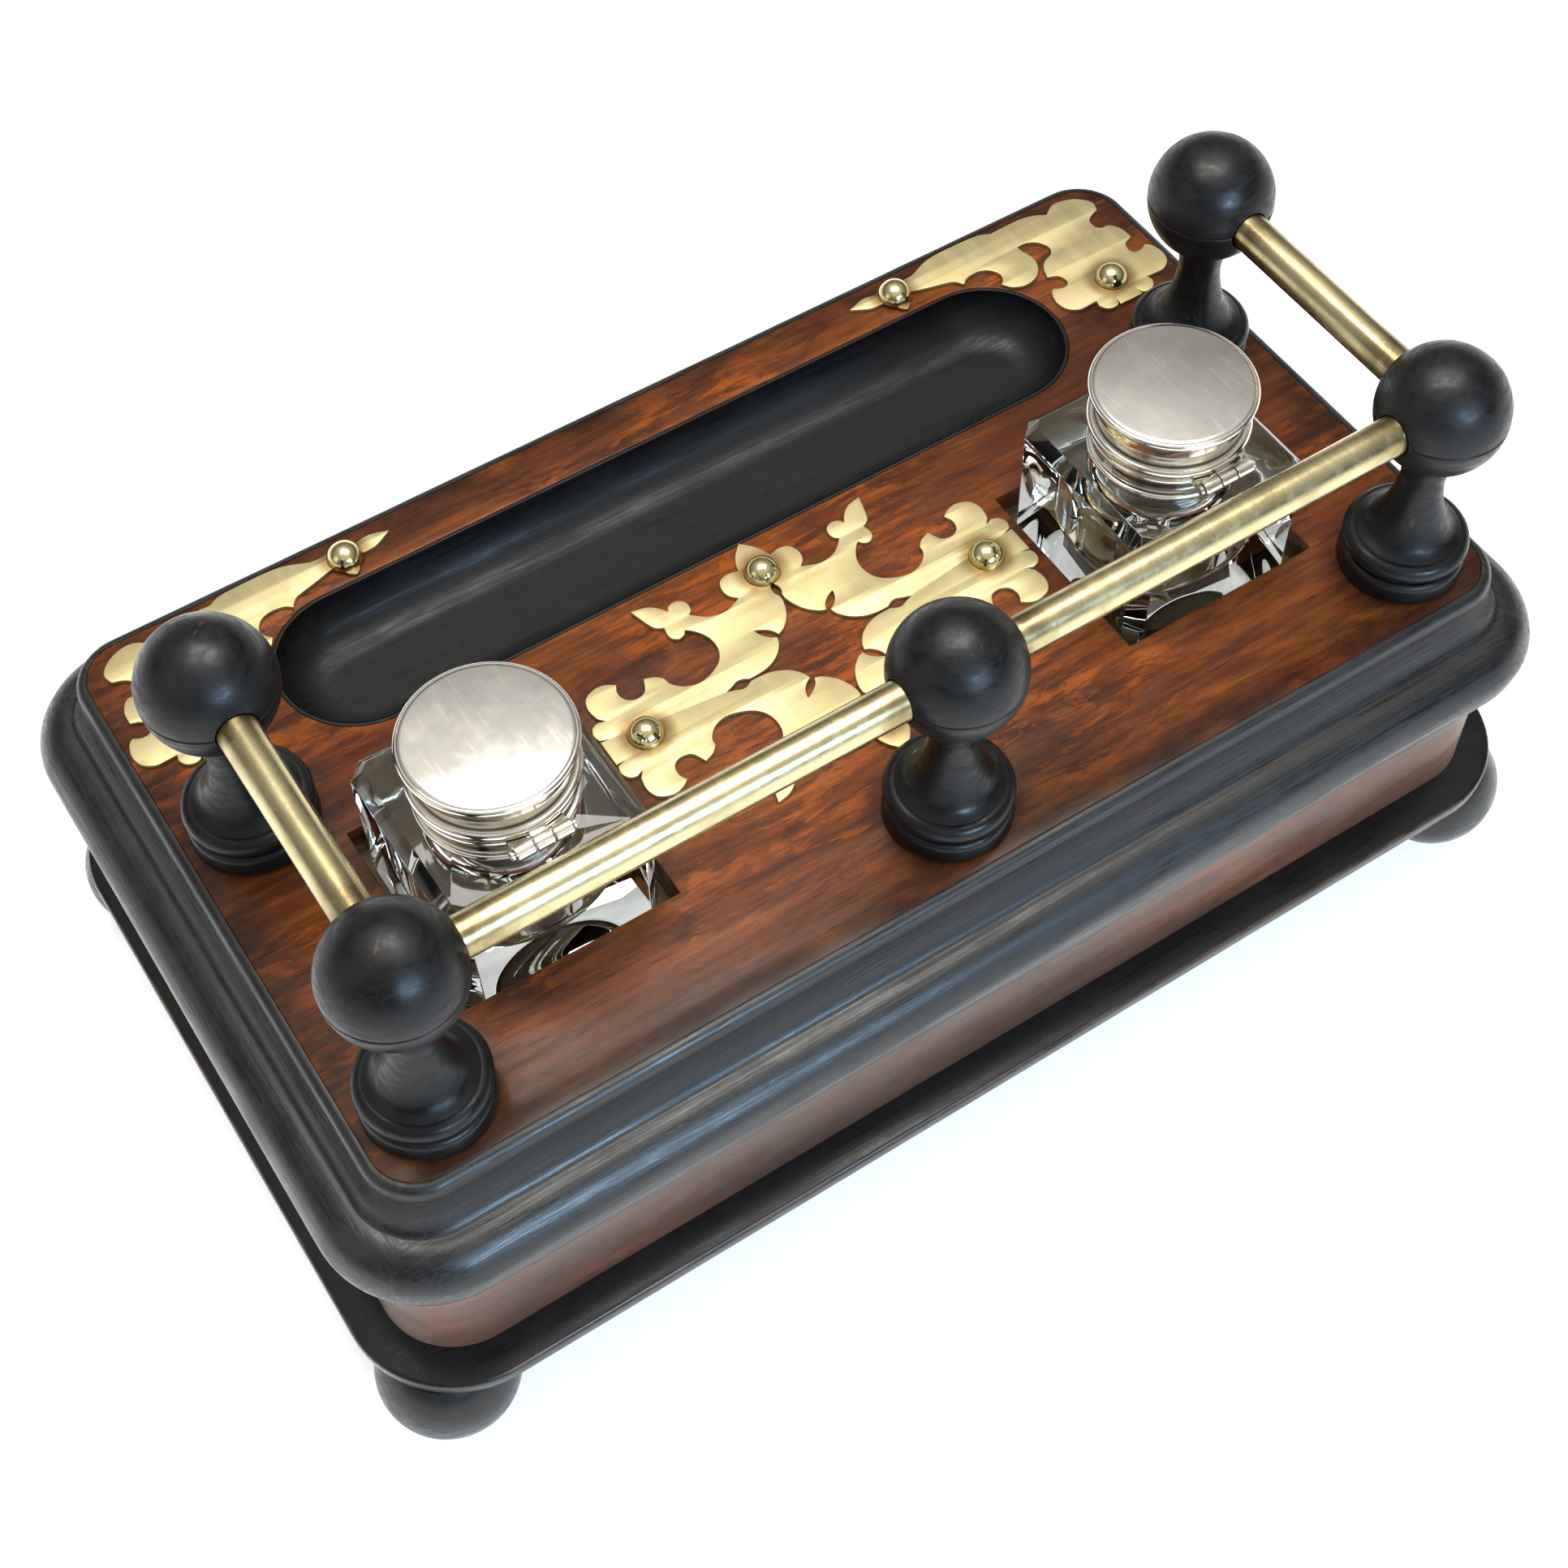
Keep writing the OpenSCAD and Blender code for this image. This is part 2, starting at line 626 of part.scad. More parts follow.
collar_z = top_z + shoulder_z;
hinge_z = collar_z + collar_h + part_gap / 2;
collar_bead = 0.8;
mouth_step = 0.8;                   // how much wider the collar's mouth is than the glass one
arm_in = 2.2;                       // how far a knuckle's arm runs into the collar
knuckle_r = 1.7;
pin_r = 0.7;
knuckle_gap = 0.15;

module knuckle(from, to) {
    translate([from, hinge_reach, hinge_z]) rotate([0, 90, 0]) cylinder(to - from, knuckle_r, knuckle_r);
}

module pin_hole() {
    translate([-hinge_len, hinge_reach, hinge_z]) rotate([0, 90, 0])
        cylinder(2 * hinge_len, pin_r + glue_gap, pin_r + glue_gap);
}

module collar(side) {
    color(silver) translate([side * bottle_x, bottle_y, 0]) difference() {
        union() {
            translate([0, 0, collar_z]) rotate_extrude() polygon(concat(
                [[neck_r + glue_gap, 0], [collar_r - collar_bead, 0]],
                arc([collar_r - collar_bead, collar_bead], collar_bead, -60, 90, 6),
                [[collar_waist, 2 * collar_bead + 0.2], [collar_waist, collar_h - 2 * collar_bead - 0.4]],
                arc([collar_r - collar_bead, collar_h - collar_bead - 0.3], collar_bead, -90, 45, 6),
                [[collar_r - collar_bead, collar_h], [mouth_r + mouth_step, collar_h],
                 [mouth_r + mouth_step, collar_h - collar_cap], [neck_r + glue_gap, collar_h - collar_cap]]
            ));
            for (s = [-1, 1]) {
                inner = hinge_len / 6 + knuckle_gap;
                outer = hinge_len / 2;
                knuckle(min(s * inner, s * outer), max(s * inner, s * outer));
                translate([min(s * inner, s * outer), collar_r - arm_in, hinge_z - knuckle_r])
                    cube([outer - inner, hinge_reach - collar_r + arm_in, knuckle_r - part_gap / 2]);
            }
        }
        pin_hole();
    }
}

// Lid: a turned hollow cap with a slightly domed top, and the middle knuckle of the hinge

lid_z = hinge_z + part_gap / 2;
lid_wall = 1.4;
lid_top = 2.2;
dome_rise = 0.7;
arm_start = 0.4;                    // from the lid's bore to the start of its knuckle's arm

lid_bead = 1.2;
lid_rim = 0.9;                      // radius of the rim bead round the top
lid_waist = lid_r - 1.6;

module lid(side) {
    bore = lid_waist - lid_wall;
    flank = lid_h - 2 * lid_rim - 0.1;
    face = lid_h - 0.3;
    color(silver) translate([side * bottle_x, bottle_y, 0]) difference() {
        union() {
            translate([0, 0, lid_z]) rotate_extrude() polygon(concat(
                [[bore, 0], [lid_r - 2 * lid_bead / 3, 0]],
                arc([lid_r - lid_bead - 0.4, lid_bead], lid_bead, -40, 90, 8),
                cavetto([lid_r - lid_bead - lid_rim, 2 * lid_bead], [lid_waist, lid_h / 2], 4),
                [[lid_waist, flank - 2], [lid_r - lid_rim - 0.2, flank - lid_rim]],
                arc([lid_r - lid_rim, flank], lid_rim, -80, 90, 8),
                [[lid_waist, face - 0.4], [lid_r - 5, face], [lid_r / 2, face + 0.3 * dome_rise],
                 [0, face + 0.43 * dome_rise], [0, lid_h - lid_top], [bore, lid_h - lid_top]]
            ));
            knuckle(knuckle_gap - hinge_len / 6, hinge_len / 6 - knuckle_gap);
            translate([knuckle_gap - hinge_len / 6, bore + arm_start, lid_z])
                cube([hinge_len / 3 - 2 * knuckle_gap, hinge_reach - bore - arm_start,
                      knuckle_r - part_gap / 2]);
        }
        pin_hole();
    }
}

// Hinge pin with a small head at each end

pin_over = 0.6;                     // how far the pin stands out at each end
pin_head_r = 1.1;

module hinge_pin(side) {
    color(silver) translate([side * bottle_x, bottle_y + hinge_reach, hinge_z]) rotate([0, 90, 0]) {
        cylinder(hinge_len + 2 * pin_over, pin_r, pin_r, center = true);
        for (s = [-1, 1])
            translate([0, 0, s * (hinge_len / 2 + pin_over)])
                cylinder(pin_over, pin_head_r, pin_head_r, center = true);
    }
}

top_panel();
pen_tray();
bottle_well(-1);  // bottle_well_left
bottle_well(1);  // bottle_well_right
moulding_long(0);  // moulding_back
moulding_long(180);  // moulding_front
moulding_short(90);  // moulding_left
moulding_short(-90);  // moulding_right
frieze_long(0);  // frieze_back
frieze_long(180);  // frieze_front
frieze_short(90);  // frieze_left
frieze_short(-90);  // frieze_right
base_board();
foot(-1, -1);  // foot_front_left
foot(1, -1);  // foot_front_right
foot(-1, 1);  // foot_back_left
foot(1, 1);  // foot_back_right
post(0);  // post_front_left
post(1);  // post_front_right
post(2);  // post_back_left
post(3);  // post_back_middle
post(4);  // post_back_right
cap(0);  // cap_front_left
cap(1);  // cap_front_right
cap(2);  // cap_back_left
cap(3);  // cap_back_middle
cap(4);  // cap_back_right
rail(post_places[0], post_places[2]);  // rail_left
rail(post_places[1], post_places[4]);  // rail_right
rail(post_places[2], post_places[3]);  // rail_back_left
rail(post_places[3], post_places[4]);  // rail_back_right
centre_mount();
corner_mount(-1);  // corner_mount_left
corner_mount(1);  // corner_mount_right
studs(centre_studs_at);  // centre_studs
studs(corner_studs_at(-1));  // corner_studs_left
studs(corner_studs_at(1));  // corner_studs_right
bottle(-1);  // bottle_left
bottle(1);  // bottle_right
collar(-1);  // collar_left
collar(1);  // collar_right
lid(-1);  // lid_left
lid(1);  // lid_right
hinge_pin(-1);  // hinge_pin_left
hinge_pin(1);  // hinge_pin_right
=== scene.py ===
"""Looks of a gallery desk stand with a pen tray and two lidded ink bottles."""
import logging
import math
import random
from dataclasses import dataclass
from enum import Enum

import bmesh
import bpy
from mathutils import Matrix, Vector


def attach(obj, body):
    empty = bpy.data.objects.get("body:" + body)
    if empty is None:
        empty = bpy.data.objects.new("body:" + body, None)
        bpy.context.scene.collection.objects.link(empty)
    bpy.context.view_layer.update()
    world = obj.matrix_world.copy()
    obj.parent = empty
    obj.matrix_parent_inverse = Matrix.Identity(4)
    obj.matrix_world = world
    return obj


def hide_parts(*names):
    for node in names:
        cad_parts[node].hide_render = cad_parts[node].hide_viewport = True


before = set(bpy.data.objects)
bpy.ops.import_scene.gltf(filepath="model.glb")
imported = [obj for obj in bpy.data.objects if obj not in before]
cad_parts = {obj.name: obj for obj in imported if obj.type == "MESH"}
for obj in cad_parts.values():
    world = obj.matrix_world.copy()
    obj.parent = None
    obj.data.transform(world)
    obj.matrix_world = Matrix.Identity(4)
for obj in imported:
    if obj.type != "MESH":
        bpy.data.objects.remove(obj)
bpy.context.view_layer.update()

MM = 0.001
LAID_ALONG_X = Matrix.Rotation(math.radians(90), 4, "Y")
LOG = logging.getLogger("desk_stand")

Point = tuple[float, float]
Triple = tuple[float, float, float]
Colour = tuple[float, float, float]
Socket = bpy.types.NodeSocket
Value = Socket | float | Colour


class Slot(Enum):
    """Material slots."""

    WALNUT = "walnut"
    EBONISED = "ebonised_wood"
    BRASS = "brass"
    SILVER = "silver"
    GLASS = "glass"


class Side(Enum):
    """The two halves of the stand, as seen by someone who sits at the pen tray."""

    LEFT = -1
    RIGHT = 1

    @property
    def word(self) -> str:
        """Name of the side as the nodes spell it."""
        return self.name.lower()


def linear(colour: str) -> Colour:
    """Turn a web colour into linear light.

    Args:
        colour: Six hexadecimal digits after a hash sign.

    Returns:
        Red, green and blue in linear light.
    """
    parts = [int(colour[i:i + 2], 16) / 255 for i in (1, 3, 5)]
    return tuple(p / 12.92 if p <= 0.04045 else ((p + 0.055) / 1.055) ** 2.4 for p in parts)


# ---------------------------------------------------------------- materials


class Nodes:
    """A node tree, with short calls for the nodes that the finishes and the surround share."""

    def __init__(self, tree: bpy.types.NodeTree) -> None:
        """Take over a tree.

        Args:
            tree: The tree, which is emptied.
        """
        self.tree = tree
        self.tree.nodes.clear()

    def add(self, kind: str, **settings: str | bool) -> bpy.types.Node:
        """Add a node.

        Args:
            kind: Type of the node.
            settings: Properties of the node by their names.

        Returns:
            The new node.
        """
        node = self.tree.nodes.new(kind)
        for key, value in settings.items():
            setattr(node, key, value)
        return node

    def feed(self, socket: Socket, value: Value) -> None:
        """Link a socket to value where value is a socket, or set it to value.

        Args:
            socket: The input to fill.
            value: Another node's output, a number, or a colour.
        """
        if isinstance(value, Socket):
            self.tree.links.new(value, socket)
        elif isinstance(value, tuple) and len(value) == 3 and socket.type == "RGBA":
            socket.default_value = (*value, 1)
        else:
            socket.default_value = value

    def noise(self, where: Socket, detail: float = 4, rough: float = 0.5, distort: float = 0,
              scale: float = 1) -> Socket:
        """Cloud noise.

        Args:
            where: Place in the noise.
            detail: Number of finer layers.
            rough: Share that each finer layer adds.
            distort: How far the noise bends itself.
            scale: Features per unit of where.

        Returns:
            The amount, about 0.3 to 0.7.
        """
        node = self.add("ShaderNodeTexNoise")
        for name, value in (("Vector", where), ("Scale", scale), ("Detail", detail), ("Roughness", rough),
                            ("Distortion", distort)):
            self.feed(node.inputs[name], value)
        return node.outputs["Fac"]

    def cells(self, where: Socket) -> Socket:
        """Distance from scattered points.

        Args:
            where: Place in the pattern, which has one point per unit.

        Returns:
            The distance.
        """
        node = self.add("ShaderNodeTexVoronoi", feature="F1")
        for name, value in (("Vector", where), ("Scale", 1), ("Randomness", 1)):
            self.feed(node.inputs[name], value)
        return node.outputs["Distance"]

    def ramp(self, amount: Value, stops: list[tuple[float, Colour]], how: str = "LINEAR") -> Socket:
        """Colours along a ramp.

        Args:
            amount: Where on the ramp, from 0 to 1.
            stops: Place and colour of each stop, at least two.
            how: How the ramp goes from one stop to the next.

        Returns:
            The colour socket.
        """
        node = self.add("ShaderNodeValToRGB")
        line = node.color_ramp
        line.interpolation = how
        while len(line.elements) < len(stops):
            line.elements.new(0.5)
        for element, (place, colour) in zip(line.elements, stops):
            element.position = place
            element.color = (*colour, 1)
        self.feed(node.inputs["Fac"], amount)
        return node.outputs["Color"]

    def span(self, amount: Value, low: float, high: float, to_low: float = 0, to_high: float = 1,
             how: str = "SMOOTHSTEP") -> Socket:
        """Map low..high to to_low..to_high and hold the ends.

        Args:
            amount: The amount to map.
            low: Where the mapping starts.
            high: Where it ends.
            to_low: Result at low.
            to_high: Result at high.
            how: Shape of the step between them.

        Returns:
            The mapped amount.
        """
        node = self.add("ShaderNodeMapRange", interpolation_type=how, clamp=True)
        for name, value in (("Value", amount), ("From Min", low), ("From Max", high),
                            ("To Min", to_low), ("To Max", to_high)):
            self.feed(node.inputs[name], value)
        return node.outputs["Result"]

    def math(self, what: str, a: Value, b: Value = 0.0) -> Socket:
        """One arithmetic step.

        Args:
            what: Name of the step.
            a: First amount.
            b: Second amount.

        Returns:
            The result.
        """
        node = self.add("ShaderNodeMath", operation=what)
        self.feed(node.inputs[0], a)
        self.feed(node.inputs[1], b)
        return node.outputs[0]

    def mix(self, amount: Value, a: Value, b: Value, how: str = "MIX") -> Socket:
        """Blend one colour over another.

        Args:
            amount: How much of b covers a.
            a: Colour below.
            b: Colour on top.
            how: Name of the blend.

        Returns:
            The blended colour.
        """
        node = self.add("ShaderNodeMix", data_type="RGBA", blend_type=how)
        for socket, value in zip((node.inputs["Factor"], node.inputs[6], node.inputs[7]), (amount, a, b)):
            self.feed(socket, value)
        return node.outputs[2]

    def axes(self, where: Socket) -> tuple[Socket, ...]:
        """Split a vector.

        Args:
            where: The vector.

        Returns:
            Its X, Y and Z.
        """
        node = self.add("ShaderNodeSeparateXYZ")
        self.feed(node.inputs[0], where)
        return tuple(node.outputs[k] for k in "XYZ")


class NodeSheet(Nodes):
    """The node tree of a new material."""

    def __init__(self, name: str) -> None:
        """Start an empty material.

        Args:
            name: Name of the material.
        """
        self.material = bpy.data.materials.new(name)
        self.material.use_nodes = True
        super().__init__(self.material.node_tree)
        self.output = self.add("ShaderNodeOutputMaterial")
        self.where = self.add("ShaderNodeTexCoord").outputs["Object"]

    def stretched(self, scale: Triple, turn: float = 0) -> Socket:
        """Object coordinates stretched so that features are one unit across.

        Args:
            scale: Features per metre along each axis.
            turn: Turn in degrees about Z.

        Returns:
            The vector socket.
        """
        node = self.add("ShaderNodeMapping")
        self.feed(node.inputs["Vector"], self.where)
        node.inputs["Scale"].default_value = scale
        node.inputs["Rotation"].default_value = (0, 0, math.radians(turn))
        return node.outputs["Vector"]

    def even(self, count: float) -> Socket:
        """Object coordinates with count features per metre along each axis."""
        return self.stretched((count, count, count))

    def near(self, places: list[Point], reach: float, fade: float) -> Socket:
        """A soft spot round each place on the panel.

        Args:
            places: X and Y of each spot's middle, in millimetres.
            reach: Radius in millimetres inside which the amount is 1.
            fade: Further distance in millimetres over which it falls to 0.

        Returns:
            The largest amount of all spots.
        """
        x, y, _ = self.axes(self.where)
        total = None
        for px, py in places:
            flat = self.add("ShaderNodeCombineXYZ")
            self.feed(flat.inputs[0], self.math("SUBTRACT", x, px * MM))
            self.feed(flat.inputs[1], self.math("SUBTRACT", y, py * MM))
            long = self.add("ShaderNodeVectorMath", operation="LENGTH")
            self.feed(long.inputs[0], flat.outputs[0])
            spot = self.span(long.outputs["Value"], reach * MM, (reach + fade) * MM, 1, 0)
            total = spot if total is None else self.math("MAXIMUM", total, spot)
        return total

    def bump(self, height: Socket, depth_mm: float) -> Socket:
        """Fine relief.

        Args:
            height: Relief from 0 to 1.
            depth_mm: Depth of the relief in millimetres.

        Returns:
            The normal socket.
        """
        node = self.add("ShaderNodeBump")
        for name, value in (("Strength", 1), ("Distance", depth_mm * MM), ("Height", height)):
            self.feed(node.inputs[name], value)
        return node.outputs["Normal"]

    def surface(self, **inputs: Value) -> bpy.types.Material:
        """End the tree in one surface shader.

        Args:
            inputs: Values or sockets by the shader's input names, with _ for spaces.

        Returns:
            The finished material.
        """
        shader = self.add("ShaderNodeBsdfPrincipled")
        for key, value in inputs.items():
            self.feed(shader.inputs[key.replace("_", " ")], value)
        self.feed(self.output.inputs["Surface"], shader.outputs["BSDF"])
        return self.material


@dataclass(frozen=True)
class PolishedWalnut:
    """French polished walnut with its grain along X, or along Y where it is across."""

    name: str
    deep: str = "#2a170c"
    red: str = "#5f3015"
    warm: str = "#7a401a"
    gold: str = "#985a26"
    shade: str = "#34190e"
    smoke: str = "#26130a"
    glow: str = "#a8561a"
    pore: str = "#160a06"
    # colour of the painted shade along the moulding and round the posts and bottles
    shade_tone: str = "#1d0e09"
    coat: float = 0.12
    index: float = 1.45
    shine: float = 0.18
    tint: Colour = (1, 1, 1)
    # strength of the painted shade along the moulding and round the posts and bottles
    painted_shade: float = 0.0
    spots: tuple[Point, ...] = ()
    wells: tuple[Point, ...] = ()
    # half size of the panel, which bounds the painted shade along the moulding
    shade_half: Point = (136, 74.5)
    across: bool = False
    haze: float = 0.0
    haze_tint: Colour = (1, 0.87, 0.7)

    def material(self) -> bpy.types.Material:
        """Grain, mottled figure, open pores, painted shade along the moulding and round what stands on it,
        and a worn polish.

        Returns:
            The material.
        """
        s = NodeSheet(self.name)
        sway = s.noise(self._grain(s, 9, 14), 3, 0.5)
        figure = s.noise(self._grain(s, 14, 75), 6, 0.66, 1.1)
        streak = s.noise(self._grain(s, 34, 520), 5, 0.6, 0.3)
        mottle = s.noise(self._grain(s, 70, 280, 14), 6, 0.7, 0.35)
        cloud = s.noise(self._grain(s, 30, 60, -12), 5, 0.7, 0.5)
        open_pore = s.span(s.noise(self._grain(s, 150, 2600), 2, 0.5), 0.63, 0.72)
        glow = s.math("MULTIPLY", s.span(mottle, 0.48, 0.64), s.span(sway, 0.54, 0.38))
        base = s.ramp(figure, [(0.28, linear(self.deep)), (0.42, linear(self.red)),
                               (0.56, linear(self.warm)), (0.74, linear(self.gold))])
        for amount, colour in ((s.span(streak, 0.36, 0.62, 0.5, 0), self.deep),
                               (s.span(sway, 0.48, 0.66, 0, 0.72), self.shade),
                               (s.span(cloud, 0.5, 0.72, 0, 0.7), self.smoke),
                               (s.math("MULTIPLY", glow, 0.6), self.glow),
                               (s.math("MULTIPLY", open_pore, 0.7), self.pore)):
            base = s.mix(amount, base, linear(colour))
        # painted shade: darker walnut along the moulding and round the posts and bottles
        if self.painted_shade:
            base = self._shaded(s, base)
        rough = s.span(s.noise(self._grain(s, 60, 90), 4, 0.6), 0.3, 0.75, 0.24, 0.46)
        swell = s.math("MULTIPLY", s.noise(self._grain(s, 40, 120), 3), 0.6)
        relief = s.bump(s.math("SUBTRACT", swell, open_pore), 0.03)
        return s.surface(Base_Color=base, Roughness=rough, Normal=relief, Coat_Weight=self.coat,
                         Coat_Roughness=0.15, Specular_IOR_Level=self.shine, Specular_Tint=self.tint,
                         IOR=self.index, Sheen_Weight=self.haze, Sheen_Roughness=0.45,
                         Sheen_Tint=self.haze_tint)

    def _grain(self, s: NodeSheet, along: float, over: float, turn: float = 0) -> Socket:
        """Object coordinates stretched along the grain.

        Args:
            s: The material's nodes.
            along: Features per metre along the grain.
            over: Features per metre over the grain.
            turn: Turn about Z in degrees.

        Returns:
            The vector socket.
        """
        return s.stretched((over, along, over) if self.across else (along, over, over), turn)

    def _shaded(self, s: NodeSheet, base: Socket) -> Socket:
        """Paint shade on the walnut along the moulding and round what stands on it.

        Args:
            s: The material's nodes.
            base: Colour of the clean walnut.

        Returns:
            The colour with the painted shade.
        """
        x, y, _ = s.axes(s.where)
        half_x, half_y = self.shade_half
        edge_x = s.span(s.math("ABSOLUTE", x), (half_x - 13) * MM, half_x * MM)
        edge_y = s.span(s.math("ABSOLUTE", y), (half_y - 9) * MM, half_y * MM)
        around = s.math("MAXIMUM", s.near(list(self.spots), 12, 10),
                        s.math("MULTIPLY", s.near(list(self.wells), 28, 11), 0.8))
        shade_mask = s.math("MAXIMUM", s.math("MAXIMUM", edge_x, edge_y), around)
        broken = s.span(s.noise(s.stretched((70, 110, 110)), 5, 0.65), 0.25, 0.7, 0.35, 1)
        amount = s.math("MULTIPLY", s.math("MULTIPLY", shade_mask, broken), self.painted_shade)
        return s.mix(amount, base, linear(self.shade_tone))


@dataclass(frozen=True)
class EbonisedWood:
    """Black stained and polished wood, worn brown on its edges."""

    name: str
    black: str = "#0d0d0e"
    haze: str = "#18191b"
    mark: str = "#090909"
    dust: str = "#7d7a70"
    edge: str = "#5a3d2a"
    rough: Point = (0.36, 0.58)
    coat: float = 0.25
    along: Triple = (14, 420, 420)
    scratch: float = 0.03
    shine: float = 0.3
    rub: float = 0.5

    def material(self) -> bpy.types.Material:
        """Brush marks, hazy polish, small scuffs and rubbed edges.

        Returns:
            The material.
        """
        s = NodeSheet(self.name)
        marks = s.noise(s.stretched(self.along), 5, 0.65, 0.2)
        scuffs = s.noise(s.stretched(tuple(3.6 * a for a in self.along)), 4, 0.7, 0.1)
        haze = s.noise(s.stretched((75, 90, 90)), 6, 0.62)
        specks = s.math("MULTIPLY", s.span(s.cells(s.even(620)), 0.0, 0.13, 1, 0),
                        s.span(s.noise(s.even(160), 2), 0.58, 0.66))
        bent = s.add("ShaderNodeNewGeometry").outputs["Pointiness"]
        rubbed = s.math("MULTIPLY", s.span(bent, 0.53, 0.6), s.span(haze, 0.35, 0.6))
        base = linear(self.black)
        for amount, colour in ((s.span(haze, 0.42, 0.8, 0, 0.55), self.haze),
                               (s.span(marks, 0.55, 0.78, 0, 0.35), self.mark),
                               (s.math("MULTIPLY", specks, 0.35), self.dust),
                               (s.math("MULTIPLY", rubbed, self.rub), self.edge)):
            base = s.mix(amount, base, linear(colour))
        rough = s.math("ADD", s.span(haze, 0.3, 0.75, *self.rough), s.span(scuffs, 0.38, 0.62, -0.1, 0.12))
        relief = s.math("ADD", s.math("MULTIPLY", marks, 0.5), s.math("MULTIPLY", scuffs, 0.35))
        return s.surface(Base_Color=base, Roughness=rough, Normal=s.bump(relief, self.scratch * 2),
                         Coat_Weight=self.coat, Coat_Roughness=0.26, Specular_IOR_Level=self.shine, IOR=1.46)


@dataclass(frozen=True)
class AgedBrass:
    """Pale brass with a satin polish and brown tarnish."""

    name: str
    clean: str = "#e6daae"
    tarnish: str = "#93763f"
    # colour of the painted shade round the studs, where the sheet is dished
    ring: str = "#7a5a30"
    pit: str = "#6b552e"
    brown: str = "#6e5228"
    rough: Point = (0.26, 0.42)
    tarnished: float = 0.4
    speckled: float = 0.0
    spots: tuple[Point, ...] = ()
    dish_shade_reach: float = 4.2
    ends: float = 0.0
    relief: float = 0.02

    def material(self) -> bpy.types.Material:
        """Cloudy tarnish, rub marks, pits and painted shade in rings round the studs, where the sheet is
        dished.

        Returns:
            The material.
        """
        s = NodeSheet(self.name)
        cloud = s.noise(s.even(85), 6, 0.62)
        fine = s.noise(s.even(900), 4, 0.6)
        rub = s.noise(s.stretched((300, 40, 300), 35), 4, 0.6)
        base = s.mix(s.span(cloud, 0.45, 0.8, 0, self.tarnished), linear(self.clean), linear(self.tarnish))
        # painted shade: darker rings round the studs stand in for the dish in the sheet
        if self.spots:
            rings = s.near(list(self.spots), self.dish_shade_reach, 3.6)
            dish_shade = s.math("MULTIPLY", rings, s.span(cloud, 0.2, 0.6, 0.45, 0.9))
            base = s.mix(dish_shade, base, linear(self.ring))
        if self.speckled:
            pits = s.math("MULTIPLY", s.span(s.cells(s.even(1100)), 0.0, 0.26, 1, 0),
                          s.span(s.noise(s.even(120), 3), 0.46, 0.62))
            base = s.mix(s.math("MULTIPLY", pits, self.speckled), base, linear(self.pit))
        if self.ends:
            base = self._browned(s, base)
        rough = s.math("ADD", s.span(cloud, 0.3, 0.8, *self.rough), s.span(rub, 0.4, 0.7, -0.03, 0.05))
        relief = s.math("ADD", s.math("MULTIPLY", fine, 0.5), s.math("MULTIPLY", cloud, 0.8))
        return s.surface(Base_Color=base, Metallic=1.0, Roughness=rough, Normal=s.bump(relief, self.relief))

    def _browned(self, s: NodeSheet, base: Socket) -> Socket:
        """Brown the tubes near the balls that hold them.

        Args:
            s: The material's nodes.
            base: Colour of the tube.

        Returns:
            The browned colour.
        """
        broken = s.span(s.noise(s.even(200), 4), 0.3, 0.6, 0.3, 1)
        near = s.math("MULTIPLY", s.near(list(GALLERY.places), 15, 12), broken)
        return s.mix(s.math("MULTIPLY", near, self.ends), base, linear(self.brown))


@dataclass(frozen=True)
class WornSilver:
    """Polished silver plate with fine wipe marks and tarnish in its grooves."""

    name: str
    clean: str = "#ece8de"
    tarnish: str = "#9a8a68"
    groove: str = "#5e5138"
    pit: str = "#857a60"
    rough: Point = (0.12, 0.26)

    def material(self) -> bpy.types.Material:
        """Wipe marks, thin cloudy tarnish and small dents.

        Returns:
            The material.
        """
        s = NodeSheet(self.name)
        cloud = s.noise(s.even(110), 5, 0.6)
        wipe = s.noise(s.stretched((1500, 90, 400), 40), 3, 0.6)
        grooves = s.span(s.add("ShaderNodeNewGeometry").outputs["Pointiness"], 0.49, 0.44)
        pits = s.span(s.cells(s.even(260)), 0.0, 0.1, 1, 0)
        base = linear(self.clean)
        for amount, colour in ((s.span(cloud, 0.5, 0.8, 0, 0.3), self.tarnish),
                               (s.math("MULTIPLY", grooves, 0.7), self.groove),
                               (s.math("MULTIPLY", pits, 0.4), self.pit)):
            base = s.mix(amount, base, linear(colour))
        rough = s.math("ADD", s.span(cloud, 0.35, 0.75, *self.rough), s.span(wipe, 0.5, 0.75, 0, 0.06))
        relief = s.math("ADD", s.math("MULTIPLY", wipe, 0.12), s.noise(s.even(70), 2))
        return s.surface(Base_Color=base, Metallic=1.0, Roughness=rough, Normal=s.bump(relief, 0.06))


@dataclass(frozen=True)
class CutGlass:
    """Thick clear glass, a little wavy and rubbed."""

    name: str
    clear: str = "#f3f6f2"
    grey: str = "#e6ece8"

    def material(self) -> bpy.types.Material:
        """Clear glass with soft waves and light surface wear.

        Returns:
            The material.
        """
        s = NodeSheet(self.name)
        wave = s.noise(s.stretched((38, 38, 52)), 2, 0.4)
        wear = s.span(s.noise(s.stretched((900, 900, 300)), 5, 0.7), 0.6, 0.8, 0.0, 0.08)
        tone = s.mix(s.span(wave, 0.3, 0.7, 0, 0.6), linear(self.clear), linear(self.grey))
        return s.surface(Base_Color=tone, Roughness=wear, Normal=s.bump(wave, 0.012),
                         Transmission_Weight=1.0, IOR=1.48)


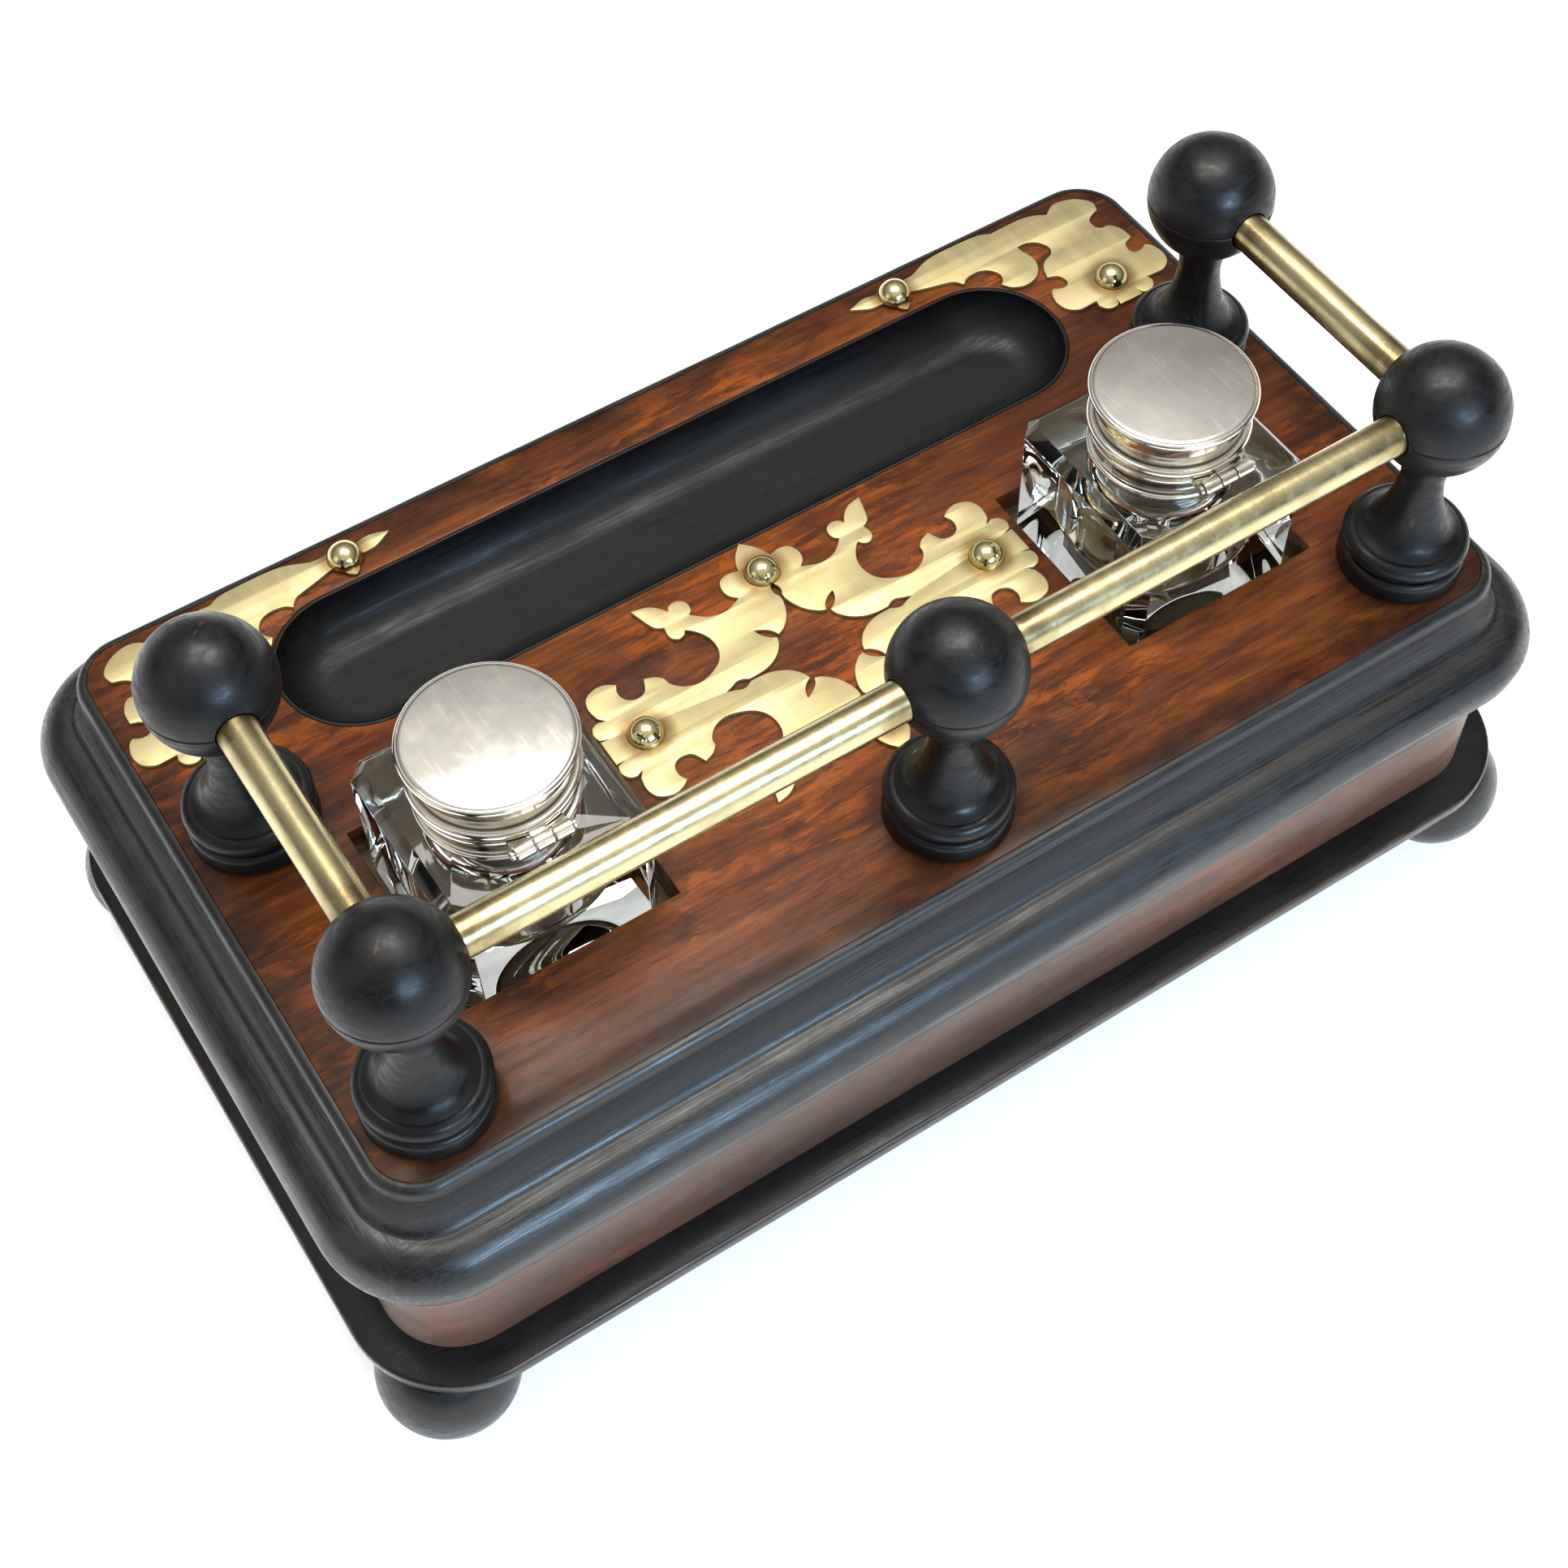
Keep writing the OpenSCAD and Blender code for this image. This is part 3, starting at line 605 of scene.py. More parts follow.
@dataclass(frozen=True)
class OldCement:
    """Pale cement that holds the collar on the glass neck."""

    name: str
    stain: str = "#8d8570"
    pale: str = "#d9d3c2"

    def material(self) -> bpy.types.Material:
        """Crumbly off-white cement with stains.

        Returns:
            The material.
        """
        s = NodeSheet(self.name)
        crumb = s.noise(s.even(1300), 5, 0.7)
        base = s.ramp(s.noise(s.even(240), 3), [(0.35, linear(self.stain)), (0.65, linear(self.pale))])
        return s.surface(Base_Color=base, Roughness=s.span(crumb, 0.3, 0.7, 0.35, 0.7),
                         Normal=s.bump(crumb, 0.25))


# ---------------------------------------------------------------- meshes


class MeshCraft:
    """Builds meshes in millimetres and hands them over as objects in metres."""

    @staticmethod
    def arc(centre: Point, radius: float, start: float, end: float, count: int) -> list[Point]:
        """Points of an arc.

        Args:
            centre: Middle of the arc.
            radius: Its radius.
            start: First angle in degrees.
            end: Last angle in degrees.
            count: Number of steps.

        Returns:
            The points from start to end.
        """
        turns = [math.radians(start + (end - start) * i / count) for i in range(count + 1)]
        return [(centre[0] + radius * math.cos(a), centre[1] + radius * math.sin(a)) for a in turns]

    @staticmethod
    def hollow(start: Point, end: Point, count: int) -> list[Point]:
        """Points of a quarter ellipse.

        Args:
            start: First point, where the curve runs upright.
            end: Last point, where it runs level.
            count: Number of steps.

        Returns:
            The points from start to end.
        """
        turns = [math.radians(90 * i / count) for i in range(count + 1)]
        return [(end[0] + (start[0] - end[0]) * math.cos(a), start[1] + (end[1] - start[1]) * math.sin(a))
                for a in turns]

    @staticmethod
    def smooth_line(points: list[Point], steps: int) -> list[Point]:
        """A soft curve through points.

        Args:
            points: Points to pass through.
            steps: Steps between two points.

        Returns:
            The points of the curve.
        """
        line = [points[0], *points, points[-1]]
        made = []
        for a, b, c, d in zip(line, line[1:], line[2:], line[3:]):
            for k in range(steps):
                t = k / steps
                made.append(tuple(
                    0.5 * (2 * b[i] + (c[i] - a[i]) * t + (2 * a[i] - 5 * b[i] + 4 * c[i] - d[i]) * t * t
                           + (3 * b[i] - a[i] - 3 * c[i] + d[i]) * t ** 3) for i in (0, 1)))
        return [*made, points[-1]]

    @staticmethod
    def settle(mesh: bmesh.types.BMesh, name: str, sharp: float = 35) -> bpy.types.Object:
        """Turn a mesh in millimetres into a smooth shaded object in metres.

        Args:
            mesh: The mesh, which is freed.
            name: Name of the object.
            sharp: Angle in degrees above which an edge stays sharp.

        Returns:
            The new object.
        """
        bmesh.ops.remove_doubles(mesh, verts=mesh.verts, dist=1e-4)
        bmesh.ops.recalc_face_normals(mesh, faces=mesh.faces)
        bmesh.ops.scale(mesh, vec=(MM, MM, MM), verts=mesh.verts)
        for face in mesh.faces:
            face.smooth = True
        data = bpy.data.meshes.new(name)
        mesh.to_mesh(data)
        mesh.free()
        data.set_sharp_from_angle(angle=math.radians(sharp))
        made = bpy.data.objects.new(name, data)
        bpy.context.scene.collection.objects.link(made)
        return made

    @staticmethod
    def rings(mesh: bmesh.types.BMesh, rings: list[list[Triple]]) -> None:
        """Join closed rings of points into a solid.

        Args:
            mesh: Mesh to add to.
            rings: Rings with the same number of points each. The first and the last are filled.
        """
        rows = [[mesh.verts.new(p) for p in ring] for ring in rings]
        count = len(rows[0])
        for low, high in zip(rows, rows[1:]):
            for i in range(count):
                j = (i + 1) % count
                mesh.faces.new((low[i], low[j], high[j], high[i]))
        mesh.faces.new(rows[0][::-1])
        mesh.faces.new(rows[-1])

    @staticmethod
    def turned(mesh: bmesh.types.BMesh, profile: list[Point], place: Matrix, count: int = 96,
               wobble: float = 0.0, seed: int = 1) -> None:
        """Turn a profile about an axis.

        Args:
            mesh: Mesh to add to.
            profile: Radius and height along the profile. A radius of 0 at an end closes it.
            place: Where the turned piece goes, from its own frame.
            count: Steps round the axis.
            wobble: How far the radius varies, in millimetres.
            seed: Seed of that variation.
        """
        dice = random.Random(seed)
        phases = [(n, dice.uniform(0, math.tau), dice.uniform(-1, 1)) for n in (2, 3, 5)]
        rows = []
        for radius, height in profile:
            if radius < 1e-6:
                rows.append([mesh.verts.new(place @ Vector((0, 0, height)))])
                continue
            row = []
            for i in range(count):
                a = math.tau * i / count
                off = wobble * sum(w * math.cos(n * a + p) for n, p, w in phases)
                r = radius + off * min(1, radius / 4)
                row.append(mesh.verts.new(place @ Vector((r * math.cos(a), r * math.sin(a), height))))
            rows.append(row)
        for low, high in zip(rows, rows[1:]):
            if len(low) == 1 and len(high) == 1:
                continue
            for i in range(count):
                j = (i + 1) % count
                if len(low) == 1:
                    mesh.faces.new((low[0], high[j], high[i]))
                elif len(high) == 1:
                    mesh.faces.new((low[i], low[j], high[0]))
                else:
                    mesh.faces.new((low[i], low[j], high[j], high[i]))
        if profile[0] == profile[-1]:
            return
        for row in (rows[0], rows[-1]):
            if len(row) > 1:
                mesh.faces.new(row)

    @classmethod
    def lathe(cls, name: str, profile: list[Point], place: Matrix, count: int = 96, wobble: float = 0.0,
              seed: int = 1) -> bpy.types.Object:
        """Turn a profile into a piece of its own.

        Args:
            name: Name of the piece.
            profile: Radius and height along the profile.
            place: Where the piece goes.
            count: Steps round the axis.
            wobble: How far the radius varies, in millimetres.
            seed: Seed of that variation.

        Returns:
            The new object.
        """
        mesh = bmesh.new()
        cls.turned(mesh, profile, place, count, wobble, seed)
        return cls.settle(mesh, name, 40)

    @staticmethod
    def tube_solid(mesh: bmesh.types.BMesh, profile: list[Point], place: Matrix, count: int) -> None:
        """Turn a closed profile that stays clear of the axis.

        Args:
            mesh: Mesh to add to.
            profile: Radius and height along the closed profile.
            place: Where the turned piece goes, from its own frame.
            count: Steps round the axis.
        """
        rows = []
        for i in range(count):
            a = math.tau * i / count
            rows.append([mesh.verts.new(place @ Vector((r * math.cos(a), r * math.sin(a), z)))
                         for r, z in profile])
        for i in range(count):
            here, there = rows[i], rows[(i + 1) % count]
            for k in range(len(profile)):
                m = (k + 1) % len(profile)
                mesh.faces.new((here[k], there[k], there[m], here[m]))

    @staticmethod
    def softened(node: str, name: str, radius: float, bend: float = 28) -> bpy.types.Object:
        """A copy of a node with its edges eased.

        Args:
            node: Node to follow.
            name: Name of the new piece.
            radius: Radius of the eased edges in millimetres.
            bend: Angle in degrees above which an edge is eased.

        Returns:
            The new object.
        """
        mesh = bmesh.new()
        mesh.from_mesh(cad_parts[node].data)
        bmesh.ops.scale(mesh, vec=(1 / MM,) * 3, verts=mesh.verts)
        bmesh.ops.remove_doubles(mesh, verts=mesh.verts, dist=1e-3)
        bmesh.ops.dissolve_limit(mesh, angle_limit=math.radians(0.6), verts=mesh.verts, edges=mesh.edges)
        mesh.normal_update()
        hard = [e for e in mesh.edges if len(e.link_faces) == 2 and e.calc_face_angle(0) > math.radians(bend)]
        bmesh.ops.bevel(mesh, geom=hard, offset=radius, segments=2, profile=0.5, affect="EDGES",
                        clamp_overlap=True)
        return MeshCraft.settle(mesh, name, bend)

    @staticmethod
    def top_outlines(node: str) -> list[list[Point]]:
        """The outlines of a node's upper face.

        Args:
            node: Node to read.

        Returns:
            One closed line of points in millimetres for each outline.
        """
        mesh = bmesh.new()
        mesh.from_mesh(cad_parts[node].data)
        bmesh.ops.remove_doubles(mesh, verts=mesh.verts, dist=1e-6)
        mesh.normal_update()
        top = max(v.co.z for v in mesh.verts)
        flat = {f for f in mesh.faces if f.normal.z > 0.99 and abs(f.calc_center_median().z - top) < 1e-5}
        after = {}
        for face in flat:
            for loop in face.loops:
                others = [f for f in loop.edge.link_faces if f is not face]
                if not others or others[0] not in flat:
                    after[loop.vert] = loop.link_loop_next.vert
        lines = []
        while after:
            start = next(iter(after))
            line, here = [], start
            while here in after:
                line.append((here.co.x / MM, here.co.y / MM))
                here = after.pop(here)
            lines.append(line)
        mesh.free()
        return lines

    @staticmethod
    def plate(name: str, lines: list[list[Point]], low: float, high: float, ease: float) -> bpy.types.Object:
        """A flat plate with holes and eased edges.

        Args:
            name: Name of the piece.
            lines: Outer and inner outlines in millimetres.
            low: Height of its lower face.
            high: Height of its upper face.
            ease: Radius of the eased edges.

        Returns:
            The new object.
        """
        curve = bpy.data.curves.new(name, "CURVE")
        curve.dimensions = "2D"
        curve.fill_mode = "BOTH"
        curve.extrude = ((high - low) / 2 - ease) * MM
        curve.bevel_depth = ease * MM
        curve.bevel_resolution = 2
        curve.offset = -ease * MM
        for line in lines:
            spline = curve.splines.new("POLY")
            spline.points.add(len(line) - 1)
            for point, (x, y) in zip(spline.points, line):
                point.co = (x * MM, y * MM, 0, 1)
            spline.use_cyclic_u = True
        shell = bpy.data.objects.new(name + "_line", curve)
        bpy.context.scene.collection.objects.link(shell)
        bpy.context.view_layer.update()
        made = bmesh.new()
        made.from_mesh(shell.evaluated_get(bpy.context.evaluated_depsgraph_get()).to_mesh())
        bpy.data.objects.remove(shell)
        bmesh.ops.scale(made, vec=(1 / MM,) * 3, verts=made.verts)
        bmesh.ops.translate(made, vec=(0, 0, (low + high) / 2), verts=made.verts)
        return MeshCraft.settle(made, name)

    @staticmethod
    def drilled(piece: bpy.types.Object, drills: list[bpy.types.Object]) -> None:
        """Cut holes in a piece and drop the drills.

        Args:
            piece: Piece to cut.
            drills: Solids to take away from it.
        """
        for drill in drills:
            cut = piece.modifiers.new("hole", "BOOLEAN")
            cut.operation = "DIFFERENCE"
            cut.solver = "EXACT"
            cut.object = drill
        bpy.context.view_layer.update()
        ready = bpy.data.meshes.new_from_object(piece.evaluated_get(bpy.context.evaluated_depsgraph_get()))
        piece.modifiers.clear()
        piece.data = ready
        ready.set_sharp_from_angle(angle=math.radians(35))
        for drill in drills:
            bpy.data.objects.remove(drill)


def show(piece: bpy.types.Object, node: str, body: str, finish: bpy.types.Material) -> None:
    """Dress a piece, set it in a node's place and let it ride on the node's body.

    Args:
        piece: The piece.
        node: Node that it stands for.
        body: Body that it rides on.
        finish: Its material.
    """
    piece.data.materials.clear()
    piece.data.materials.append(finish)
    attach(piece, body)
    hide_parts(node)
    LOG.info("made %s", piece.name)


def dress(node: str, finish: bpy.types.Material) -> None:
    """Give a carried-over node its finish.

    Args:
        node: The node.
        finish: Its material.
    """
    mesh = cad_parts[node].data
    mesh.materials.clear()
    mesh.materials.append(finish)
    LOG.info("dressed %s", node)


# ---------------------------------------------------------------- sub-assemblies


@dataclass
class Case:
    """Panel, moulding, frieze and base board. Sizes in millimetres."""

    body: str = "stand"
    half_len: float = 137
    half_dep: float = 75.5
    corner: float = 10
    top: float = 95
    rabbet: float = 89
    moulding_low: float = 65.2
    frieze_low: float = 32
    base_low: float = 26.4
    wall_in: float = 4
    frieze_reach: float = 7.5
    base_reach: float = 15.7
    edge_round: float = 1.2
    ledge_drop: float = 1.4
    nose_reach: float = 15.1
    nose: float = 8.6
    nose_drop: float = 21.2
    bead: float = 2.2
    bottle_x: float = 81.9
    bottle_y: float = 21.7
    well: float = 50
    tray_half: float = 102.5
    tray_wide: float = 38.6
    tray_y: float = -43.3
    play: float = 0.05
    ease: float = 0.3
    tuck: float = 1
    planing: float = 0.12

    def build(self) -> None:
        """Build and dress every piece of the case."""
        self._panel()
        self._mouldings()
        self._friezes()
        self._base_board()

    def _stations(self, long_side: bool) -> list[tuple[Point, float]]:
        """Where the profile stands along one side of the band.

        Args:
            long_side: Whether the side runs along the stand.

        Returns:
            The corner centre and the outward angle in degrees of each station.
        """
        run = (self.half_len if long_side else self.half_dep) - self.corner
        out = (self.half_dep if long_side else self.half_len) - self.corner
        bend = 14
        straight = 40
        left = [((-run, out), 135 - 45 * i / bend) for i in range(bend)]
        line = [((-run + 2 * run * i / straight, out), 90) for i in range(straight + 1)]
        right = [((run, out), 90 - 45 * i / bend) for i in range(1, bend + 1)]
        return left + line + right

    def _band(self, name: str, turn: float, profile: list[Point], long_side: bool,
              uneven: float) -> bpy.types.Object:
        """Sweep a profile along one side and its two half corners.

        Args:
            name: Name of the piece.
            turn: Turn of the side about Z in degrees.
            profile: Outward distance and height of each point.
            long_side: Whether the side runs along the stand.
            uneven: How far hand planing has left the face uneven.

        Returns:
            The new object.
        """
        dice = random.Random(name)
        waves = [(dice.uniform(0.02, 0.06), dice.uniform(0, math.tau)) for _ in range(3)]
        spin = Matrix.Rotation(math.radians(turn), 3, "Z")
        outside, bend_run = self.frieze_reach + 0.2, 40
        rings = []
        for (cx, cy), angle in self._stations(long_side):
            a = math.radians(angle)
            ring = []
            for px, pz in profile:
                off = 0.0
                if px > outside:
                    along = cx + bend_run * a
                    off = uneven * sum(math.sin(k * along + p + pz) for k, p in waves) / len(waves) - uneven
                r = self.corner + px + off
                ring.append(spin @ Vector((cx + r * math.cos(a), cy + r * math.sin(a), pz)))
            rings.append(ring)
        mesh = bmesh.new()
        MeshCraft.rings(mesh, rings)
        return MeshCraft.settle(mesh, name, 40)

    def _rounded(self, grow: float, steps: int = 14) -> list[Point]:
        """Outline of the panel grown outward.

        Args:
            grow: Distance outward.
            steps: Steps in each corner.

        Returns:
            The closed outline.
        """
        run, out, r = self.half_len - self.corner, self.half_dep - self.corner, self.corner + grow
        line = []
        for sx, sy, start in ((1, 1, 0), (-1, 1, 90), (-1, -1, 180), (1, -1, 270)):
            line += MeshCraft.arc((sx * run, sy * out), r, start, start + 90, steps)
        return line

    def _panel(self) -> None:
        """The walnut panel with its two square openings and the tray opening."""
        lines = [self._rounded(-self.play)]
        half = self.well / 2
        for side in Side:
            x = side.value * self.bottle_x
            lines.append([(x - half, self.bottle_y - half), (x - half, self.bottle_y + half),
                          (x + half, self.bottle_y + half), (x + half, self.bottle_y - half)])
        r = self.tray_wide / 2
        run = self.tray_half - r
        lines.append(MeshCraft.arc((run, self.tray_y), r, 90, -90, 32)
                     + MeshCraft.arc((-run, self.tray_y), r, -90, -270, 32))
        piece = MeshCraft.plate("walnut_panel", lines, self.rabbet, self.top, self.ease)
        wells = tuple((side.value * self.bottle_x, self.bottle_y) for side in Side)
        # the panel gets painted shade along the moulding and round the posts and bottles
        finish = PolishedWalnut("panel_walnut", painted_shade=0.85, spots=tuple(GALLERY.places),
                                wells=wells).material()
        show(piece, "top_panel", self.body, finish)

    def _moulding_profile(self) -> list[Point]:
        """Bead, quirk, hollow and round nose, then the back and the rabbet.

        Returns:
            Outward distance and height of each point.
        """
        nose = (self.nose_reach - self.nose, self.top - self.nose_drop)
        quirk = (self.bead + 0.3, self.top - self.bead - 0.4)
        craft = MeshCraft
        return ([(0, self.top)]
                + craft.arc((0.2, self.top - self.bead), self.bead, 90, 0, 14)
                + craft.hollow(quirk, (nose[0], nose[1] + self.nose), 26)
                + craft.arc(nose, self.nose, 86, -90, 44)
                + [(-self.wall_in, self.moulding_low), (-self.wall_in, self.rabbet), (0, self.rabbet)])

    def _mouldings(self) -> None:
        """The four black sides of the ogee moulding."""
        for word, turn, long_side in SIDES:
            piece = self._band(f"ogee_{word}", turn, self._moulding_profile(), long_side, self.planing)
            along = (16, 480, 480) if long_side else (480, 16, 480)
            finish = EbonisedWood(f"ogee_black_{word}", along=along, rough=(0.3, 0.46), coat=0.15,
                                  scratch=0.11, shine=0.6).material()
            show(piece, f"moulding_{word}", self.body, finish)

    def _friezes(self) -> None:
        """The four walnut sides of the frieze."""
        profile = [(-self.wall_in, self.frieze_low), (self.frieze_reach, self.frieze_low),
                   (self.frieze_reach, self.moulding_low), (-self.wall_in, self.moulding_low)]
        for word, turn, long_side in SIDES:
            piece = self._band(f"walnut_frieze_{word}", turn, profile, long_side, 0)
            finish = PolishedWalnut(f"frieze_walnut_{word}", deep="#2c150d", red="#5c2817", warm="#783821",
                                    gold="#8c472a", coat=0, index=1.6, shine=0.5, tint=(1, 0.85, 0.72),
                                    across=not long_side, haze=0.35).material()
            show(piece, f"frieze_{word}", self.body, finish)

    def _base_board(self) -> None:
        """The black base board with its sloping ledge and rounded edge."""
        edge = self.edge_round
        reach = self.base_reach - edge
        profile = ([(self.frieze_reach - self.tuck, self.frieze_low), (self.frieze_reach, self.frieze_low)]
                   + MeshCraft.arc((reach, self.frieze_low - self.ledge_drop - edge), edge, 80, 0, 8)
                   + MeshCraft.arc((reach, self.base_low + edge), edge, 0, -90, 8))
        rings = [[(x, y, z) for x, y in self._rounded(px, 20)] for px, z in profile]
        mesh = bmesh.new()
        MeshCraft.rings(mesh, rings)
        piece = MeshCraft.settle(mesh, "black_base_board", 30)
        finish = EbonisedWood("base_black", rub=0.9, rough=(0.22, 0.45), coat=0.4).material()
        show(piece, "base_board", self.body, finish)


@dataclass
class PenTray:
    """Black trough for pens and the wells that the bottles stand in. Sizes in millimetres."""

    body: str = "stand"
    half_len: float = 102.5
    wide: float = 38.6
    y: float = -43.3
    top: float = 95
    deep: float = 11
    floor: float = 3
    rim: float = 1
    cove: float = 11
    play: float = 0.05
    ease: float = 0.3

    def build(self) -> None:
        """Build the tray and dress the wells."""
        outer, ease = self.wide / 2 - self.play, self.ease
        inner = self.wide / 2 - self.rim
        low = self.top - self.deep
        under = low - self.floor
        profile = ([(outer - ease, under), (outer, under + ease), (outer, self.top - ease)]
                   + MeshCraft.arc((outer - ease, self.top - ease), ease, 20, 90, 3)
                   + MeshCraft.arc((inner + ease, self.top - ease), ease, 90, 180, 4)
                   + MeshCraft.arc((inner - self.cove, low + self.cove), self.cove, 0, -90, 26))
        run = self.half_len - self.wide / 2
        rings = []
        for reach, z in profile:
            line = (MeshCraft.arc((run, self.y), reach, -90, 90, 40)
                    + MeshCraft.arc((-run, self.y), reach, 90, 270, 40))
            rings.append([(x, y, z) for x, y in line])
        mesh = bmesh.new()
        MeshCraft.rings(mesh, rings)
        piece = MeshCraft.settle(mesh, "pen_trough", 35)
        finish = EbonisedWood("trough_black", along=(16, 300, 300), rough=(0.42, 0.62), coat=0.06).material()
        show(piece, "pen_tray", self.body, finish)
        stained = EbonisedWood("well_stain", black="#5a4a36", haze="#8c7656", rough=(0.6, 0.8),
                               coat=0).material()
        for side in Side:
            dress(f"bottle_well_{side.word}", stained)


@dataclass
class BallFeet:
    """Four turned ball feet. Sizes in millimetres."""

    body: str = "stand"
    x: float = 137.5
    y: float = 76
    radius: float = 15.78
    flat: float = 5
    height: float = 26.4
    tenon: float = 5
    tenon_h: float = 4.5

    def build(self) -> None:
        """Turn and dress the feet."""
        finish = EbonisedWood("foot_black", along=(60, 60, 300), rough=(0.26, 0.5), coat=0.35).material()
        middle = math.sqrt(self.radius ** 2 - self.flat ** 2)
        low = -math.degrees(math.asin(middle / self.radius))
        high = math.degrees(math.asin((self.height - middle) / self.radius))
        end = self.height + self.tenon_h
        profile = [(0, 0), *MeshCraft.arc((0, middle), self.radius, low, high, 40),
                   (self.tenon, self.height), (self.tenon, end), (0, end)]
        for fb, sy in (("front", -1), ("back", 1)):
            for side in Side:
                spot = Matrix.Translation((side.value * self.x, sy * self.y, 0))
                piece = MeshCraft.lathe(f"ball_foot_{fb}_{side.word}", profile, spot)
                show(piece, f"foot_{fb}_{side.word}", self.body, finish)


@dataclass
class Gallery:
    """Turned posts with split balls and the brass tubes between them. Sizes in millimetres."""

    body: str = "stand"
    top: float = 95
    half_span: float = 121.3
    back_y: float = 59.6
    end_y: float = -16.4
    ball_z: float = 47.4
    ball: float = 14
    foot: float = 13.8
    neck: float = 4.9
    tube: float = 4.3
    tube_wall: float = 0.8
    tube_end: float = 6
    tube_play: float = 0.3
    disc_h: float = 5.4
    ring_h: float = 10.6
    groove: float = 0.6
    disc_low: float = 1.2
    disc_high: float = 1.6
    groove_in: float = 2.2
    ring_in: float = 2.4
    neck_share: float = 0.53
    cup: float = 6
    seam: float = 0.4
    seam_in: float = 0.45
    seam_turn: float = 1.6
    wobble: float = 0.04
    names: tuple[str, ...] = ("front_left", "front_right", "back_left", "back_middle", "back_right")
    turns: tuple[tuple[float, ...], ...] = ((90,), (90,), (0, -90), (0, 180), (180, -90))

    @property
    def places(self) -> list[Point]:
        """X and Y of the posts, in the order of their names."""
        s = self.half_span
        return [(-s, self.end_y), (s, self.end_y), (-s, self.back_y), (0, self.back_y), (s, self.back_y)]

    def _post_profile(self) -> list[Point]:
        """Disc, ring, trumpet and the lower half of the ball.

        Returns:
            Radius and height of each point.
        """
        f, cup, seam, craft = self.foot, self.cup, self.seam, MeshCraft
        low, high = self.disc_low, self.disc_high
        ring = (self.ring_h - self.disc_h - self.groove) / 2
        neck_z = self.ball_z * self.neck_share
        cup_z = self.ball_z - math.sqrt(self.ball ** 2 - cup ** 2)
        trumpet = craft.smooth_line([
            (f - self.ring_in, self.ring_h + 0.2), (f - 5.0, self.ring_h + 2.2),
            (self.neck + 1.5, (self.ring_h + neck_z) / 2), (self.neck, neck_z),
            (self.neck + 0.1, (neck_z + cup_z) / 2), (cup - 0.4, cup_z - 0.1)], 9)
        ball = craft.arc((0, self.ball_z), self.ball, -math.degrees(math.acos(cup / self.ball)),
                         -self.seam_turn, 26)
        rim = craft.arc((self.ball - self.seam_in, self.ball_z - seam), seam, 0, 90, 3)
        return ([(0, 0), (f - low, 0)]
                + craft.arc((f - low, low), low, -60, 0, 6)
                + craft.arc((f - high - 0.2, self.disc_h - high), high, 0, 90, 10)
                + [(f - self.groove_in, self.disc_h), (f - self.groove_in, self.disc_h + self.groove)]
                + craft.arc((f - self.ring_in, self.ring_h - ring), ring, -60, 90, 16)
                + trumpet + ball + rim + [(0, self.ball_z)])

    def _cap_profile(self) -> list[Point]:
        """The upper half of the ball with an eased rim.

        Returns:
            Radius and height of each point.
        """
        seam, craft = self.seam, MeshCraft
        return ([(0, self.ball_z)]
                + craft.arc((self.ball - self.seam_in, self.ball_z + seam), seam, -90, 0, 3)
                + craft.arc((0, self.ball_z), self.ball, self.seam_turn, 89, 30)
                + [(0, self.ball_z + self.ball)])

    def _drills(self, turns: tuple[float, ...], spot: Matrix) -> list[bpy.types.Object]:
        """Solids that cut a ball's holes for its tubes.

        Args:
            turns: Direction of each tube in degrees.
            spot: Place of the post.

        Returns:
            One solid for each tube.
        """
        hole, depth, out = self.tube + self.tube_play, self.tube_end - self.tube_play, self.ball + 6
        made = []
        for turn in turns:
            lie = (spot @ Matrix.Rotation(math.radians(turn), 4, "Z")
                   @ Matrix.Translation((0, 0, self.ball_z)) @ LAID_ALONG_X)
            made.append(MeshCraft.lathe("drill", [(0, depth), (hole, depth), (hole, out), (0, out)], lie, 64))
        return made

    def build(self) -> None:
        """Turn the posts and caps, drill them and draw the tubes."""
        finish = EbonisedWood("post_black", along=(70, 70, 260), rough=(0.34, 0.52), coat=0.12).material()
        for i, (name, (x, y)) in enumerate(zip(self.names, self.places)):
            spot = Matrix.Translation((x, y, self.top))
            for kind, profile in (("post", self._post_profile()), ("cap", self._cap_profile())):
                piece = MeshCraft.lathe(f"turned_{kind}_{name}", profile, spot, 112, self.wobble, 20 + i)
                MeshCraft.drilled(piece, self._drills(self.turns[i], spot))
                show(piece, f"{kind}_{name}", self.body, finish)
        self._tubes()

    def _tubes(self) -> None:
        """The four brass tubes."""
        p = self.places
        brass = AgedBrass("rail_brass", clean="#d3c597", tarnish="#826a3a", tarnished=0.45, speckled=0.75,
                          rough=(0.22, 0.36), ends=0.7, relief=0.03).material()
        runs = {"rail_left": (p[0], p[2]), "rail_right": (p[1], p[4]),
                "rail_back_left": (p[2], p[3]), "rail_back_right": (p[3], p[4])}
        for node, (a, b) in runs.items():
            span = math.dist(a, b)
            turn = math.atan2(b[1] - a[1], b[0] - a[0])
            outer, inner = self.tube, self.tube - self.tube_wall
            steps = 24
            line = [self.tube_end + (span - 2 * self.tube_end) * i / steps for i in range(steps + 1)]
            profile = [(outer, z) for z in line] + [(inner, line[-1]), (inner, line[0])]
            lie = (Matrix.Translation((a[0], a[1], self.top + self.ball_z)) @ Matrix.Rotation(turn, 4, "Z")
                   @ LAID_ALONG_X)
            mesh = bmesh.new()
            MeshCraft.tube_solid(mesh, profile, lie, 64)
            show(MeshCraft.settle(mesh, f"brass_{node}", 40), node, self.body, brass)


GALLERY = Gallery()
SIDES = (("back", 0, True), ("front", 180, True), ("left", 90, False), ("right", -90, False))


